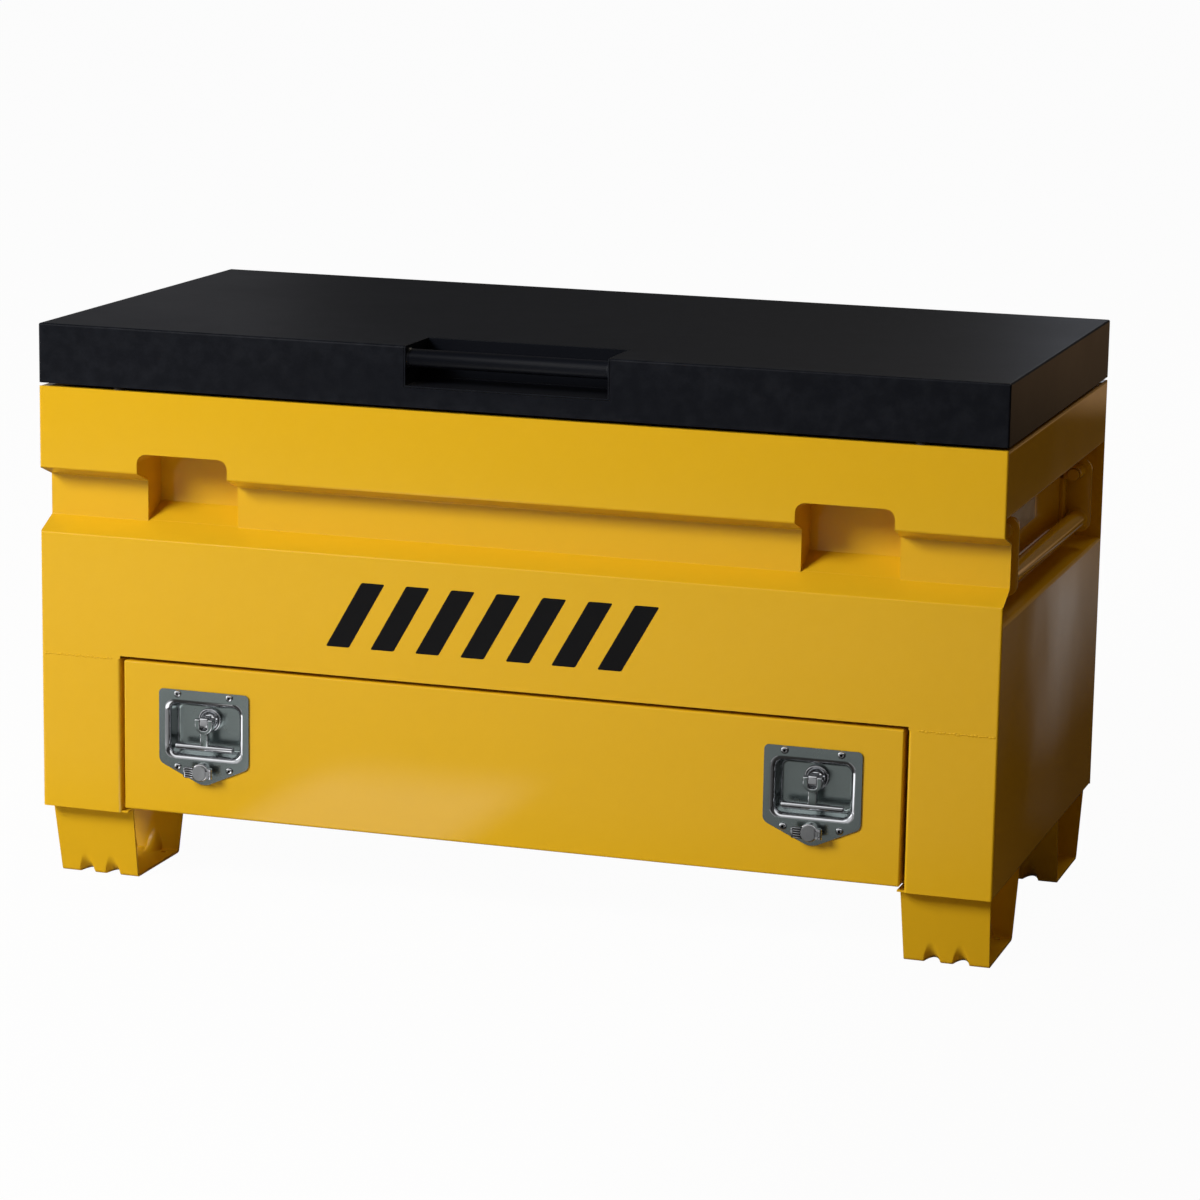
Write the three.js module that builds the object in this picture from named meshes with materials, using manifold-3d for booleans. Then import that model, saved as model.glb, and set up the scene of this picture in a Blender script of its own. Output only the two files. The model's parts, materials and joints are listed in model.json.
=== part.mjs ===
// A jobsite storage box: a sheet-steel chest with a gas-strut lid, a locking drawer below it,
// drop handles in side recesses and channel legs. Millimetres, +Z up, the front faces -Y.
// The pieces are placed from the front panel's outer face, y = 0, and the floor, z = 0.

import * as THREE from 'three';
import { ConvexGeometry } from 'three/addons/geometries/ConvexGeometry.js';
import { mergeVertices } from 'three/addons/utils/BufferGeometryUtils.js';
import Module from 'manifold-3d';

// Carcass
const bodyWidth = 1219;
const bodyDepth = 600;
const bodyBottom = 93;
const bodyTop = 627;
const sheet = 2;
const foldRadius = 1.5;
const edgeRadius = 3;
const rimFlange = 25;
const fitGap = 0.3;
const overrun = 6;

// Groove across the front, below the rim
const grooveDrop = 102;
const grooveHeight = 81;
const grooveDepth = 34;
const grooveUpperDrop = 13;
const grooveLowerRise = 17;

// Padlock pockets, open to the front through the groove
const pocketInset = 191;
const pocketWidth = 120;
const pocketRoofRise = 25;
const pocketDepth = 73;
const pocketCorner = 12;
const shackleSlotWidth = 64;
const shackleSlotDepth = 24;

// Recess along each side, below the rim
const recessDrop = 81;
const recessHeight = 124;
const recessDepth = 35;
const shelfRise = 2;
const lipRadius = 4;

// Drawer opening, corner posts and the strike lip that the drawer's cams catch
const postWidth = 106.5;
const openingHeight = 201;
const postDrop = 4;
const postReturn = 26;
const postEdgeRadius = 4;
const strikeGap = 4;
const strikeDrop = 14;
const floorFlange = 18;
const panGap = 4;
const panLip = 11;

// Legs
const legInset = 5.5;
const legWidth = 109;
const legTaper = 2.5;
const legSheet = 3;
const legSetback = 18;
const legFrontLean = 19;
const legFootLength = 128;
const legRearLean = 21;
const legBendRadius = 2;
const dartWidth = 21;
const dartHeight = 26;
const dartDepth = 8;
const dartPlaceShare = 0.33;
const legHoleRadius = 7;
const seatMargin = 0.5;

// Lid
const lidGap = 4;
const lidHeight = 74;
const lidLip = 20;
const lidHandleWidth = 254;
const lidHandleFloor = 26;
const lidHandleDepth = 78;
const lidBarRadius = 11;
const lidBarInset = 14;
const lidBarDrop = 16;
const stiffenerWidth = 90;
const stiffenerCrown = 44;
const stiffenerDepth = 20;
const stiffenerEndInset = 49.5;

// Lock lugs that hang from the lid over the pockets' shackle slots
const lugThickness = 6;
const lugWidth = 40;
const lugCornerShare = 0.33;
const lugFoot = 36;
const lugHoleRadius = 7;
const lugRise = 6;
const lugHoleRise = 14;

// Rubber bumpers between rim and lid
const bumperRadius = 8;
const bumperEndInset = 104.5;
const bumperInset = 12;

// Continuous hinge
const hingeEndInset = 59.5;
const knuckleCount = 15;
const knuckleRadius = 4.5;
const hingePinRadius = 2.5;
const leafHeight = 26;
const leafThickness = 2;

// Gas struts between the side walls and the lid
const strutLidReach = 80;
const strutLidRise = 30;
const strutWallReach = 150;
const strutWallDrop = 135;
const strutWallGap = 2.5;
const strutEyeWidth = 10;
const strutEyeRadius = 8;
const strutPinRadius = 4;
const strutTubeRadius = 10;
const strutTubeStart = 12;
const strutRodShow = 29.2;
const strutRodRadius = 4;
const strutBoreStart = 28;
const strutRodEndGap = 4;
const bracketThickness = 3;
const bracketWidth = 36;
const bracketFoot = 20;
const pinHeadRadius = 6;
const pinHeadThickness = 2;

// Drop handles in the side recesses
const armThickness = 5;
const armInset = 79.5;
const armRise = 20;
const armCorner = 14;
const armWallGap = 0.6;
const armRimGap = 0.4;
const handlePivotDrop = 25;
const handlePinRadius = 8;
const handlePinStub = 38;
const handleBossRadius = 10;
const handleBossLength = 5;
const handleWebHeight = 14;
const handleWebInset = 8;
const handleRibGap = 1.1;
const gripRadius = 11.5;

// Drawer
const drawerGap = 5;
const drawerRise = 6;
const drawerTopGap = 4.5;
const drawerFrontDepth = 24;
const trayInset = 28;
const trayRearGap = 40;
const trayTopGap = 24;
const trayLift = 2;
const traySheet = 1.5;
const bayGap = 5;

// Drawer slides
const slideSheet = 1.5;
const slideFront = 45;
const slideRearGap = 25;
const slideRailGap = 15;
const slideRise = 64;
const slideHeight = 41;
const slideWeb = 17;
const slideLip = 14;
const slideFoot = 28;

// Drawer latches: a dished plate, a spindle with a domed hub and a tongue, and a forked T-handle
const latchInset = 108.5;
const latchPlateWidth = 120;
const latchDrop = 31;
const latchShoulderDrop = 9.6;
const latchApexDrop = 20.5;
const latchPlateThickness = 2;
const latchCorner = 6;
const dishMargin = 12;
const dishDrop = 17;
const dishHeight = 66.9;
const dishDepth = 21;
const dishWall = 1.5;
const dishCorner = 9;
const dishLipWidth = 3;
const dishLipHeight = 1;
const hubDrop = 23;
const hubRadius = 15.3;
const hubRim = 3;
const hubForkGap = 3.2;
const hubFaceShare = 0.45;
const hubShaftRadius = 8;
const tongueWidth = 10;
const tongueHeight = 14;
const tongueReach = 4.5;
const tongueCorner = 3.5;
const forkPlay = 0.4;
const forkPinInset = 2;
const forkPinRadius = 2.5;
const prongWidth = 6.2;
const prongRadius = 5;
const forkFloorGap = 2.6;
const forkHeel = 4.4;
const forkCorner = 3.5;
const camClearance = 1;
const camThickness = 4;
const camTopGap = 3;
const camWidth = 22;
const stemWidth = 10.5;
const stemThickness = 7.5;
const stemReach = 0.5;
const barRise = 11.9;
const barRadius = 4.25;
const barEndGap = 9.5;
const barChamfer = 1;

// Lock barrels and their dust covers
const lockGap = 2.6;
const lockRadius = 11;
const lockReach = 14;
const lockTail = 22;
const keywayWidth = 2.6;
const keywayHeight = 8;
const keywayDepth = 5;
const coverRim = 1.5;
const coverThickness = 3.2;
const coverTabLength = 16;
const coverTabHeight = 14.5;
const coverTabCorner = 2;
const coverTabLip = 2.5;
const coverRibCount = 5;
const coverRibHeight = 0.8;
const coverRibShare = 0.5;
const coverHingeGap = 3;
const coverHingeInset = 1.2;
const coverKnuckleRadius = 2.5;
const coverKnuckleHeight = 6;
const coverPinRadius = 1.2;
const coverLugHeight = 3;

// Facets
const roundSteps = 20;
const smallRoundSteps = 10;
const cornerSteps = 4;
const bendSteps = 3;
const domeSteps = 3;
const dartSteps = 4;

// Sizes that follow from those above
const halfWidth = bodyWidth / 2;
const grooveTop = bodyTop - grooveDrop;
const grooveBottom = grooveTop - grooveHeight;
const pocketCentre = halfWidth - pocketInset;
const pocketRoof = grooveTop + pocketRoofRise;
const recessTop = bodyTop - recessDrop;
const recessBottom = recessTop - recessHeight;
const recessWall = halfWidth - recessDepth;
const halfOpening = halfWidth - postWidth;
const openingTop = bodyBottom + openingHeight;
const postTop = openingTop - postDrop;
const strikeReach = drawerFrontDepth + strikeGap;
const panFloor = bodyBottom + sheet;
const panFront = postReturn + panGap;
const legOuter = halfWidth - legInset;
const legInner = legOuter - legWidth;
const legFootFront = legSetback + legFrontLean;
const legFootRear = legFootFront + legFootLength;
const lidBottom = bodyTop + lidGap;
const lidTop = lidBottom + lidHeight;
const bumperCentre = halfWidth - bumperEndInset;
const hingeLength = bodyWidth - 2 * hingeEndInset;
const hingeHeight = bodyTop + lidGap / 2;
const hingeAxisBack = bodyDepth + knuckleRadius;
const strutPlane = recessWall - sheet - bracketThickness - strutTubeRadius - strutWallGap;
const armWidth = recessDepth - armWallGap - armRimGap;
const armBottom = recessBottom + armRise;
const handlePivotHeight = recessTop - handlePivotDrop;
const handlePivotX = recessWall + armWallGap + armWidth / 2;
const handleRibFace = handlePivotX - gripRadius - handleRibGap;
const gripHeight = armBottom + armWidth / 2;
const drawerHalf = halfOpening - drawerGap;
const drawerFrontBottom = bodyBottom + drawerRise;
const drawerFrontTop = openingTop - drawerTopGap;
const camPlane = strikeReach + sheet + camClearance;
const trayHalf = halfOpening - trayInset;
const trayBack = bodyDepth - trayRearGap;
const trayBottom = panFloor + panLip + trayLift;
const trayHeight = openingTop - trayTopGap - trayBottom;
const trayBay = camPlane + camThickness + bayGap;
const slideBottom = trayBottom + slideRise;
const latchCentre = drawerHalf - latchInset;
const latchPlateTop = drawerFrontTop - latchDrop;
const dishWidth = latchPlateWidth - 2 * dishMargin;
const dishTop = latchPlateTop - dishDrop;
const dishBottom = dishTop - dishHeight;
const hubHeight = dishTop - hubDrop;
const hubDome = dishDepth - fitGap - hubRim - forkPinInset - prongRadius - hubForkGap;
const forkBottom = hubHeight - tongueHeight / 2 - forkFloorGap - forkHeel;
const barHeight = dishBottom + barRise;
const barLength = dishWidth - 2 * barEndGap;
const forkGap = tongueWidth + 2 * forkPlay;
const camLength = openingTop - hubHeight - camTopGap;
const lockHeight = dishBottom - dishLipWidth - lockGap - lockRadius;
const coverRadius = lockRadius - coverRim;
const coverHingeReach = lockRadius + coverHingeGap;
const coverHingeOut = lockReach + coverHingeInset;
const coverFace = lockReach + fitGap + coverThickness;
const reachFront = coverFace + coverRibHeight;
const reachBack = bodyDepth + 2 * knuckleRadius;

const wasm = await Module();
wasm.setup();

// Solids and outlines

function solidOf(geometry) {
  const bare = geometry.clone();
  bare.deleteAttribute('normal');
  bare.deleteAttribute('uv');
  const merged = mergeVertices(bare);
  const corners = merged.index.array;
  const triangles = [];
  for (let i = 0; i < corners.length; i += 3) {
    const [a, b, c] = corners.slice(i, i + 3);
    if (a !== b && b !== c && c !== a) {
      triangles.push(a, b, c);
    }
  }
  const mesh = new wasm.Mesh({
    numProp: 3,
    vertProperties: new Float32Array(merged.attributes.position.array),
    triVerts: new Uint32Array(triangles),
  });
  return new wasm.Manifold(mesh);
}

function geometryOf(solid) {
  const mesh = solid.getMesh();
  const geometry = new THREE.BufferGeometry();
  geometry.setAttribute('position', new THREE.BufferAttribute(new Float32Array(mesh.vertProperties), 3));
  geometry.setIndex(new THREE.BufferAttribute(new Uint32Array(mesh.triVerts), 1));
  const flat = geometry.toNonIndexed();
  flat.computeVertexNormals();
  return flat;
}

function joined(...solids) {
  return solids.reduce((sum, solid) => sum.add(solid));
}

const axisX = new THREE.Vector3(1, 0, 0);
const axisY = new THREE.Vector3(0, 1, 0);
const axisZ = new THREE.Vector3(0, 0, 1);

function extruded(outline, length, basis, start) {
  const shape = new THREE.Shape(outline.map(([u, v]) => new THREE.Vector2(u, v)));
  const geometry = new THREE.ExtrudeGeometry(shape, { depth: length, bevelEnabled: false, steps: 1 });
  geometry.applyMatrix4(basis);
  geometry.translate(start.x, start.y, start.z);
  return solidOf(geometry);
}

// The outline is drawn in y and z.
function alongX(outline, from, to) {
  const basis = new THREE.Matrix4().makeBasis(axisY, axisZ, axisX);
  return extruded(outline, to - from, basis, new THREE.Vector3(from, 0, 0));
}

// The outline is drawn in x and z.
function alongY(outline, from, to) {
  const basis = new THREE.Matrix4().makeBasis(axisX, axisZ, axisY.clone().negate());
  return extruded(outline, to - from, basis, new THREE.Vector3(0, to, 0));
}

// The outline is drawn in x and y.
function alongZ(outline, from, to) {
  return extruded(outline, to - from, new THREE.Matrix4(), new THREE.Vector3(0, 0, from));
}

// A profile of radius and height is turned about Z, from its lower end on the axis to its upper one.
function turned(profile) {
  const points = profile.map(([radius, height]) => new THREE.Vector2(radius, height));
  const geometry = new THREE.LatheGeometry(points, roundSteps);
  geometry.rotateX(Math.PI / 2);
  return solidOf(geometry);
}

function hull(points) {
  return solidOf(new ConvexGeometry(points.map((point) => new THREE.Vector3(...point))));
}

function rectangle(left, right, low, high) {
  return [[left, low], [right, low], [right, high], [left, high]];
}

function block(left, right, front, back, low, high) {
  return alongZ(rectangle(left, right, front, back), low, high);
}

function circle(u, v, radius, steps = roundSteps) {
  const points = [];
  for (let i = 0; i < steps; i += 1) {
    const angle = (i / steps) * 2 * Math.PI;
    points.push([u + radius * Math.cos(angle), v + radius * Math.sin(angle)]);
  }
  return points;
}

// Rounds the corners of a closed outline. Each corner has its own radius, zero for a sharp one.
function roundedOutline(corners, radii) {
  const count = corners.length;
  const points = [];
  corners.forEach(([u, v], i) => {
    const before = corners[(i + count - 1) % count];
    const after = corners[(i + 1) % count];
    const radius = Array.isArray(radii) ? radii[i] : radii;
    points.push(...roundedCorner([before, [u, v], after], radius, cornerSteps));
  });
  return points;
}

function roundedCorner([before, corner, after], radius, steps) {
  if (radius === 0) {
    return [corner];
  }
  const vertex = new THREE.Vector2(...corner);
  const inward = vertex.clone().sub(new THREE.Vector2(...before)).normalize();
  const outward = new THREE.Vector2(...after).sub(vertex).normalize();
  const turn = inward.cross(outward) > 0 ? 1 : -1;
  const angle = Math.acos(THREE.MathUtils.clamp(inward.dot(outward), -1, 1));
  const tangent = radius * Math.tan(angle / 2);
  const normal = new THREE.Vector2(-inward.y, inward.x).multiplyScalar(turn);
  const centre = vertex.clone().addScaledVector(inward, -tangent).addScaledVector(normal, radius);
  const points = [];
  for (let i = 0; i <= steps; i += 1) {
    const spoke = normal.clone().negate().rotateAround(new THREE.Vector2(), turn * angle * (i / steps));
    points.push([centre.x + radius * spoke.x, centre.y + radius * spoke.y]);
  }
  return points;
}

function roundedRectangle(left, right, low, high, radius) {
  return roundedOutline(rectangle(left, right, low, high), radius);
}

// The two faces of a folded sheet. It lies to the left of the skin path, which it follows with a
// round bend at each corner. Each bend may have its own inside radius.
function foldedFaces(path, thickness, bends) {
  const skin = [];
  const inner = [];
  path.forEach((point, i) => {
    const bend = Array.isArray(bends) ? bends[i] : bends;
    const ends = [path[Math.max(i - 1, 0)], path[Math.min(i + 1, path.length - 1)]];
    const along = new THREE.Vector2(...ends[1]).sub(new THREE.Vector2(...ends[0])).normalize();
    if (i === 0 || i === path.length - 1) {
      skin.push(point);
      inner.push([point[0] - along.y * thickness, point[1] + along.x * thickness]);
      return;
    }
    const inward = new THREE.Vector2(...point).sub(new THREE.Vector2(...ends[0])).normalize();
    const outward = new THREE.Vector2(...ends[1]).sub(new THREE.Vector2(...point)).normalize();
    const turnsLeft = inward.cross(outward) > 0;
    const skinRadius = turnsLeft ? bend + thickness : bend;
    const innerRadius = turnsLeft ? bend : bend + thickness;
    const arc = roundedCorner([ends[0], point, ends[1]], skinRadius, bendSteps);
    const angle = Math.acos(THREE.MathUtils.clamp(inward.dot(outward), -1, 1));
    const side = new THREE.Vector2(-inward.y, inward.x).multiplyScalar(turnsLeft ? 1 : -1);
    const centre = new THREE.Vector2(...point)
      .addScaledVector(inward, -skinRadius * Math.tan(angle / 2))
      .addScaledVector(side, skinRadius);
    skin.push(...arc);
    inner.push(...arc.map(([u, v]) => [
      centre.x + (u - centre.x) * (innerRadius / skinRadius),
      centre.y + (v - centre.y) * (innerRadius / skinRadius),
    ]));
  });
  return { skin, inner };
}

function foldedOutline(path, thickness, bends) {
  const { skin, inner } = foldedFaces(path, thickness, bends);
  return [...skin, ...inner.reverse()];
}

// Draws an outline for the side at +x and mirrors it for the other one.
function sided(outline, side) {
  return outline.map(([u, v]) => [side * u, v]);
}

function span(side, near, far) {
  return side > 0 ? [near, far] : [-far, -near];
}

function spanAbout(side, centre, width) {
  return span(side, centre - width / 2, centre + width / 2);
}

// A block with rounded upright edges and a rounded top rim.
function softBlock(left, right, front, back, low, high, radius) {
  const plan = alongZ(roundedRectangle(left, right, front, back, radius), low, high);
  const radii = [0, 0, radius, radius];
  const lengthways = alongX(roundedOutline(rectangle(front, back, low, high), radii), left, right);
  const crossways = alongY(roundedOutline(rectangle(left, right, low, high), radii), front, back);
  return plan.intersect(lengthways).intersect(crossways);
}

function bodyEnvelope() {
  const plan = roundedRectangle(-halfWidth, halfWidth, 0, bodyDepth, edgeRadius);
  return alongZ(plan, bodyBottom, bodyTop);
}

// Carcass panels

const frontSkin = [
  [0, bodyTop],
  [0, grooveTop],
  [grooveDepth, grooveTop - grooveUpperDrop],
  [grooveDepth, grooveBottom + grooveLowerRise],
  [0, grooveBottom],
  [0, postTop],
];

// Everything in front of the front panel's inner face, with the fit gap behind it.
function frontPanelSpace() {
  const { inner } = foldedFaces(frontSkin, sheet + fitGap, foldRadius);
  const outline = [[-overrun, bodyTop + overrun], [inner[0][0], bodyTop + overrun], ...inner.slice(1, -1)];
  outline.push([inner.at(-1)[0], bodyBottom - overrun], [-overrun, bodyBottom - overrun]);
  return alongX(outline, -halfWidth - overrun, halfWidth + overrun);
}

// The groove's lower slope, carried on backwards as the pockets' floor, shifted down by a drop.
function aboveSlope(drop) {
  const slope = grooveLowerRise / grooveDepth;
  const shift = drop * Math.hypot(1, slope);
  const back = pocketDepth + sheet + overrun;
  const heightAt = (y) => grooveBottom + slope * y - shift;
  const outline = [
    [-overrun, heightAt(-overrun)],
    [back, heightAt(back)],
    [back, bodyTop],
    [-overrun, bodyTop],
  ];
  return alongX(outline, -halfWidth, halfWidth);
}

function pocketOutline(side, wall) {
  const [left, right] = spanAbout(side, pocketCentre, pocketWidth + 2 * wall);
  const corners = rectangle(left, right, grooveBottom - grooveDepth, pocketRoof + wall);
  return roundedOutline(corners, [0, 0, pocketCorner + wall, pocketCorner + wall]);
}

function makeFrontPanel() {
  const inside = halfWidth - sheet - fitGap;
  let panel = alongX(foldedOutline(frontSkin, sheet, foldRadius), -halfWidth, halfWidth);
  panel = panel.add(block(-inside, inside, 0, rimFlange, bodyTop - sheet, bodyTop));
  panel = panel.subtract(block(-halfOpening, halfOpening, -overrun, grooveDepth, bodyBottom, openingTop));
  const strikePath = [[0, openingTop], [strikeReach, openingTop], [strikeReach, openingTop - strikeDrop]];
  const strikeEnd = halfOpening - fitGap;
  const strike = alongX(foldedOutline(strikePath, sheet, foldRadius), -strikeEnd, strikeEnd);
  panel = panel.add(strike);
  for (const side of [-1, 1]) {
    const mouth = alongY(pocketOutline(side, 0), -overrun, grooveDepth + sheet + overrun);
    panel = panel.subtract(mouth.intersect(aboveSlope(0)));
  }
  return panel.intersect(bodyEnvelope());
}

function makeBackPanel() {
  const inside = halfWidth - sheet - fitGap;
  const plate = block(-halfWidth, halfWidth, bodyDepth - sheet, bodyDepth, bodyBottom, bodyTop);
  const flange = block(-inside, inside, bodyDepth - rimFlange, bodyDepth, bodyTop - sheet, bodyTop);
  return plate.add(flange).intersect(bodyEnvelope());
}

function makeSidePanel(side) {
  const lowerPath = [
    [legInner - seatMargin, bodyBottom],
    [halfWidth, bodyBottom],
    [halfWidth, recessBottom],
    [recessWall, recessBottom + shelfRise],
    [recessWall, (recessBottom + recessTop) / 2],
  ];
  const upperPath = [
    [recessWall, (recessBottom + recessTop) / 2],
    [recessWall, recessTop],
    [halfWidth, recessTop],
    [halfWidth, bodyTop],
    [halfWidth - rimFlange, bodyTop],
  ];
  const front = sheet + fitGap;
  const back = bodyDepth - sheet - fitGap;
  const lowerBends = [0, foldRadius, lipRadius - sheet, foldRadius, 0];
  const lower = alongY(sided(foldedOutline(lowerPath, sheet, lowerBends), side), front, back);
  const upper = alongY(sided(foldedOutline(upperPath, sheet, foldRadius), side), front, back);
  const [left, right] = span(side, 0, halfWidth - sheet);
  const notchDepth = rimFlange + fitGap;
  const notchSpan = [bodyTop - rimFlange, bodyTop + overrun];
  const frontNotch = block(left, right, 0, notchDepth, ...notchSpan);
  const backNotch = block(left, right, bodyDepth - notchDepth, bodyDepth, ...notchSpan);
  return lower.add(upper)
    .subtract(frontPanelSpace())
    .subtract(frontNotch)
    .subtract(backNotch)
    .intersect(bodyEnvelope());
}

function makePost(side) {
  const path = [[halfOpening, postReturn], [halfOpening, 0], [halfWidth, 0]];
  const outline = sided(foldedOutline(path, sheet, postEdgeRadius - sheet), side);
  const [left, right] = span(side, halfOpening - overrun, halfWidth + overrun);
  const seat = block(left, right, sheet, postReturn + overrun, bodyBottom - overrun, bodyBottom + sheet);
  return alongZ(outline, bodyBottom, postTop).subtract(seat).intersect(bodyEnvelope());
}

function makeChestFloor() {
  const edge = halfWidth - sheet - fitGap;
  const top = openingTop + 2 * sheet;
  const path = [[edge, top - floorFlange], [edge, top], [-edge, top], [-edge, top - floorFlange]];
  return alongY(foldedOutline(path, sheet, foldRadius), sheet + fitGap, bodyDepth - sheet - fitGap);
}

function makeBasePan() {
  const edge = halfWidth - sheet - foldRadius - fitGap;
  const back = bodyDepth - sheet - fitGap;
  const path = [[panFront, panFloor + panLip], [panFront, panFloor], [back, panFloor]];
  return alongX(foldedOutline(path, sheet, foldRadius), -edge, edge);
}

function makePocket(side) {
  const back = pocketDepth + sheet;
  const outer = alongY(pocketOutline(side, sheet), 0, back).intersect(aboveSlope(sheet));
  const inner = alongY(pocketOutline(side, 0), -overrun, pocketDepth).intersect(aboveSlope(0));
  const [left, right] = spanAbout(side, pocketCentre, shackleSlotWidth);
  const slotCentre = lugFront() + lugThickness / 2;
  const slotFront = slotCentre - shackleSlotDepth / 2;
  const slotBack = slotCentre + shackleSlotDepth / 2;
  const slot = roundedRectangle(left, right, slotFront, slotBack, pocketCorner / 2);
  return outer.subtract(inner)
    .subtract(alongZ(slot, pocketRoof - overrun, pocketRoof + overrun))
    .subtract(frontPanelSpace());
}

// Legs

// A gusset is pressed into each bend of a leg: two half cones, one up the wall and one along the
// foot, that meet in an arch. The swell gives the sheet's other face.
function legDart(across, foot, inwards, lean, swell) {
  const half = dartWidth / 2 + swell;
  const depth = dartDepth + swell;
  const reach = dartHeight + swell;
  const arch = [];
  for (let i = 0; i <= dartSteps; i += 1) {
    const angle = (i / dartSteps) * Math.PI;
    const rise = depth * Math.sin(angle);
    arch.push([across + half * Math.cos(angle), foot + inwards * rise, rise]);
  }
  const below = [across, foot - inwards * (lean * reach + overrun), -overrun];
  const upTheWall = hull([...arch, [across, foot - inwards * lean * reach, reach], below]);
  const alongTheFoot = hull([...arch, [across, foot + inwards * reach, 0], below]);
  return upTheWall.add(alongTheFoot);
}

function makeLeg(side, atBack) {
  const [left, right] = span(side, legInner, legOuter);
  const frontLean = legFrontLean / bodyBottom;
  const rearLean = legRearLean / bodyBottom;
  const path = [
    [legSetback - frontLean * overrun, bodyBottom + overrun],
    [legFootFront, 0],
    [legFootRear, 0],
    [legFootRear + legRearLean + rearLean * overrun, bodyBottom + overrun],
  ];
  let leg = alongX(foldedOutline(path, legSheet, legBendRadius), left, right);
  const filled = alongX(path, left, right);
  const place = legWidth * dartPlaceShare;
  for (const across of [left + place, right - place]) {
    for (const [foot, inwards, lean] of [[legFootFront, 1, frontLean], [legFootRear, -1, rearLean]]) {
      const inner = legDart(across, foot, inwards, lean, legSheet).intersect(filled);
      leg = leg.add(inner).subtract(legDart(across, foot, inwards, lean, 0));
    }
  }
  const edges = [
    [legInner + legTaper, 0],
    [legOuter - legTaper, 0],
    [legOuter, bodyBottom],
    [legInner, bodyBottom],
  ];
  const holeX = side * (legInner + legWidth / 2);
  const hole = circle(holeX, legFootFront + legFootLength / 2, legHoleRadius, smallRoundSteps);
  leg = leg.intersect(alongY(sided(edges, side), 0, bodyDepth))
    .subtract(alongZ(hole, -overrun, legSheet + overrun));
  return atBack ? leg.mirror([0, 1, 0]).translate([0, bodyDepth, 0]) : leg;
}

// Lid

function lidEnvelope() {
  return softBlock(-halfWidth, halfWidth, 0, bodyDepth, lidBottom, lidTop, edgeRadius);
}

function makeLidShell() {
  const right = halfWidth - sheet;
  const back = bodyDepth - sheet;
  const low = lidBottom + sheet;
  const hollow = softBlock(-right, right, sheet, back, low, lidTop - sheet, edgeRadius - sheet);
  const mouthX = halfWidth - lidLip;
  const mouth = block(-mouthX, mouthX, lidLip, bodyDepth - lidLip, lidBottom - overrun, low + sheet);
  const notchX = lidHandleWidth / 2 + sheet + fitGap;
  const notchFloor = lidBottom + lidHandleFloor - sheet - fitGap;
  const notchBack = lidHandleDepth + sheet + fitGap;
  const notch = block(-notchX, notchX, -overrun, notchBack, notchFloor, lidTop + overrun);
  return lidEnvelope().subtract(hollow).subtract(mouth).subtract(notch);
}

function makeLidHandlePan() {
  const half = lidHandleWidth / 2;
  const low = lidBottom + lidHandleFloor;
  const outer = block(-half - sheet, half + sheet, 0, lidHandleDepth + sheet, low - sheet, lidTop);
  const inner = block(-half, half, -overrun, lidHandleDepth, low, lidTop + overrun);
  return outer.subtract(inner).intersect(lidEnvelope());
}

function makeLidHandleBar() {
  const half = lidHandleWidth / 2;
  return alongX(circle(lidBarInset, lidTop - lidBarDrop, lidBarRadius), -half, half);
}

function makeLidStiffener() {
  const high = lidTop - sheet;
  const middle = bodyDepth / 2;
  const path = [
    [middle - stiffenerWidth / 2, high - sheet],
    [middle - stiffenerCrown / 2 - sheet, high - sheet],
    [middle - stiffenerCrown / 2, high - stiffenerDepth],
    [middle + stiffenerCrown / 2, high - stiffenerDepth],
    [middle + stiffenerCrown / 2 + sheet, high - sheet],
    [middle + stiffenerWidth / 2, high - sheet],
  ];
  const end = halfWidth - stiffenerEndInset;
  return alongX(foldedOutline(path, sheet, foldRadius), -end, end);
}

// The lug's front face, in the middle of the pocket's depth behind the groove.
function lugFront() {
  return (grooveDepth + pocketDepth - lugThickness) / 2;
}

function makeLockLug(side) {
  const front = lugFront();
  const high = lidTop - sheet;
  const low = pocketRoof + sheet + lugRise;
  const path = [[front + lugFoot, high], [front, high], [front, low]];
  const [left, right] = spanAbout(side, pocketCentre, lugWidth);
  const strip = alongX(foldedOutline(path, lugThickness, foldRadius), left, right);
  const corner = lugWidth * lugCornerShare;
  const face = roundedOutline(rectangle(left, right, low, high), [corner, corner, 0, 0]);
  const hole = circle(side * pocketCentre, low + lugHoleRise, lugHoleRadius, smallRoundSteps);
  return strip
    .intersect(alongY(face, front - overrun, front + lugFoot + overrun))
    .subtract(alongY(hole, front - overrun, front + lugThickness + overrun));
}

function makeBumper(side) {
  const outline = circle(side * bumperCentre, bumperInset, bumperRadius, smallRoundSteps);
  return alongZ(outline, bodyTop, lidBottom);
}

// Hinge

function knuckleSpan(index) {
  const pitch = hingeLength / knuckleCount;
  const start = -hingeLength / 2 + index * pitch;
  return [start + fitGap, start + pitch - fitGap];
}

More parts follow.
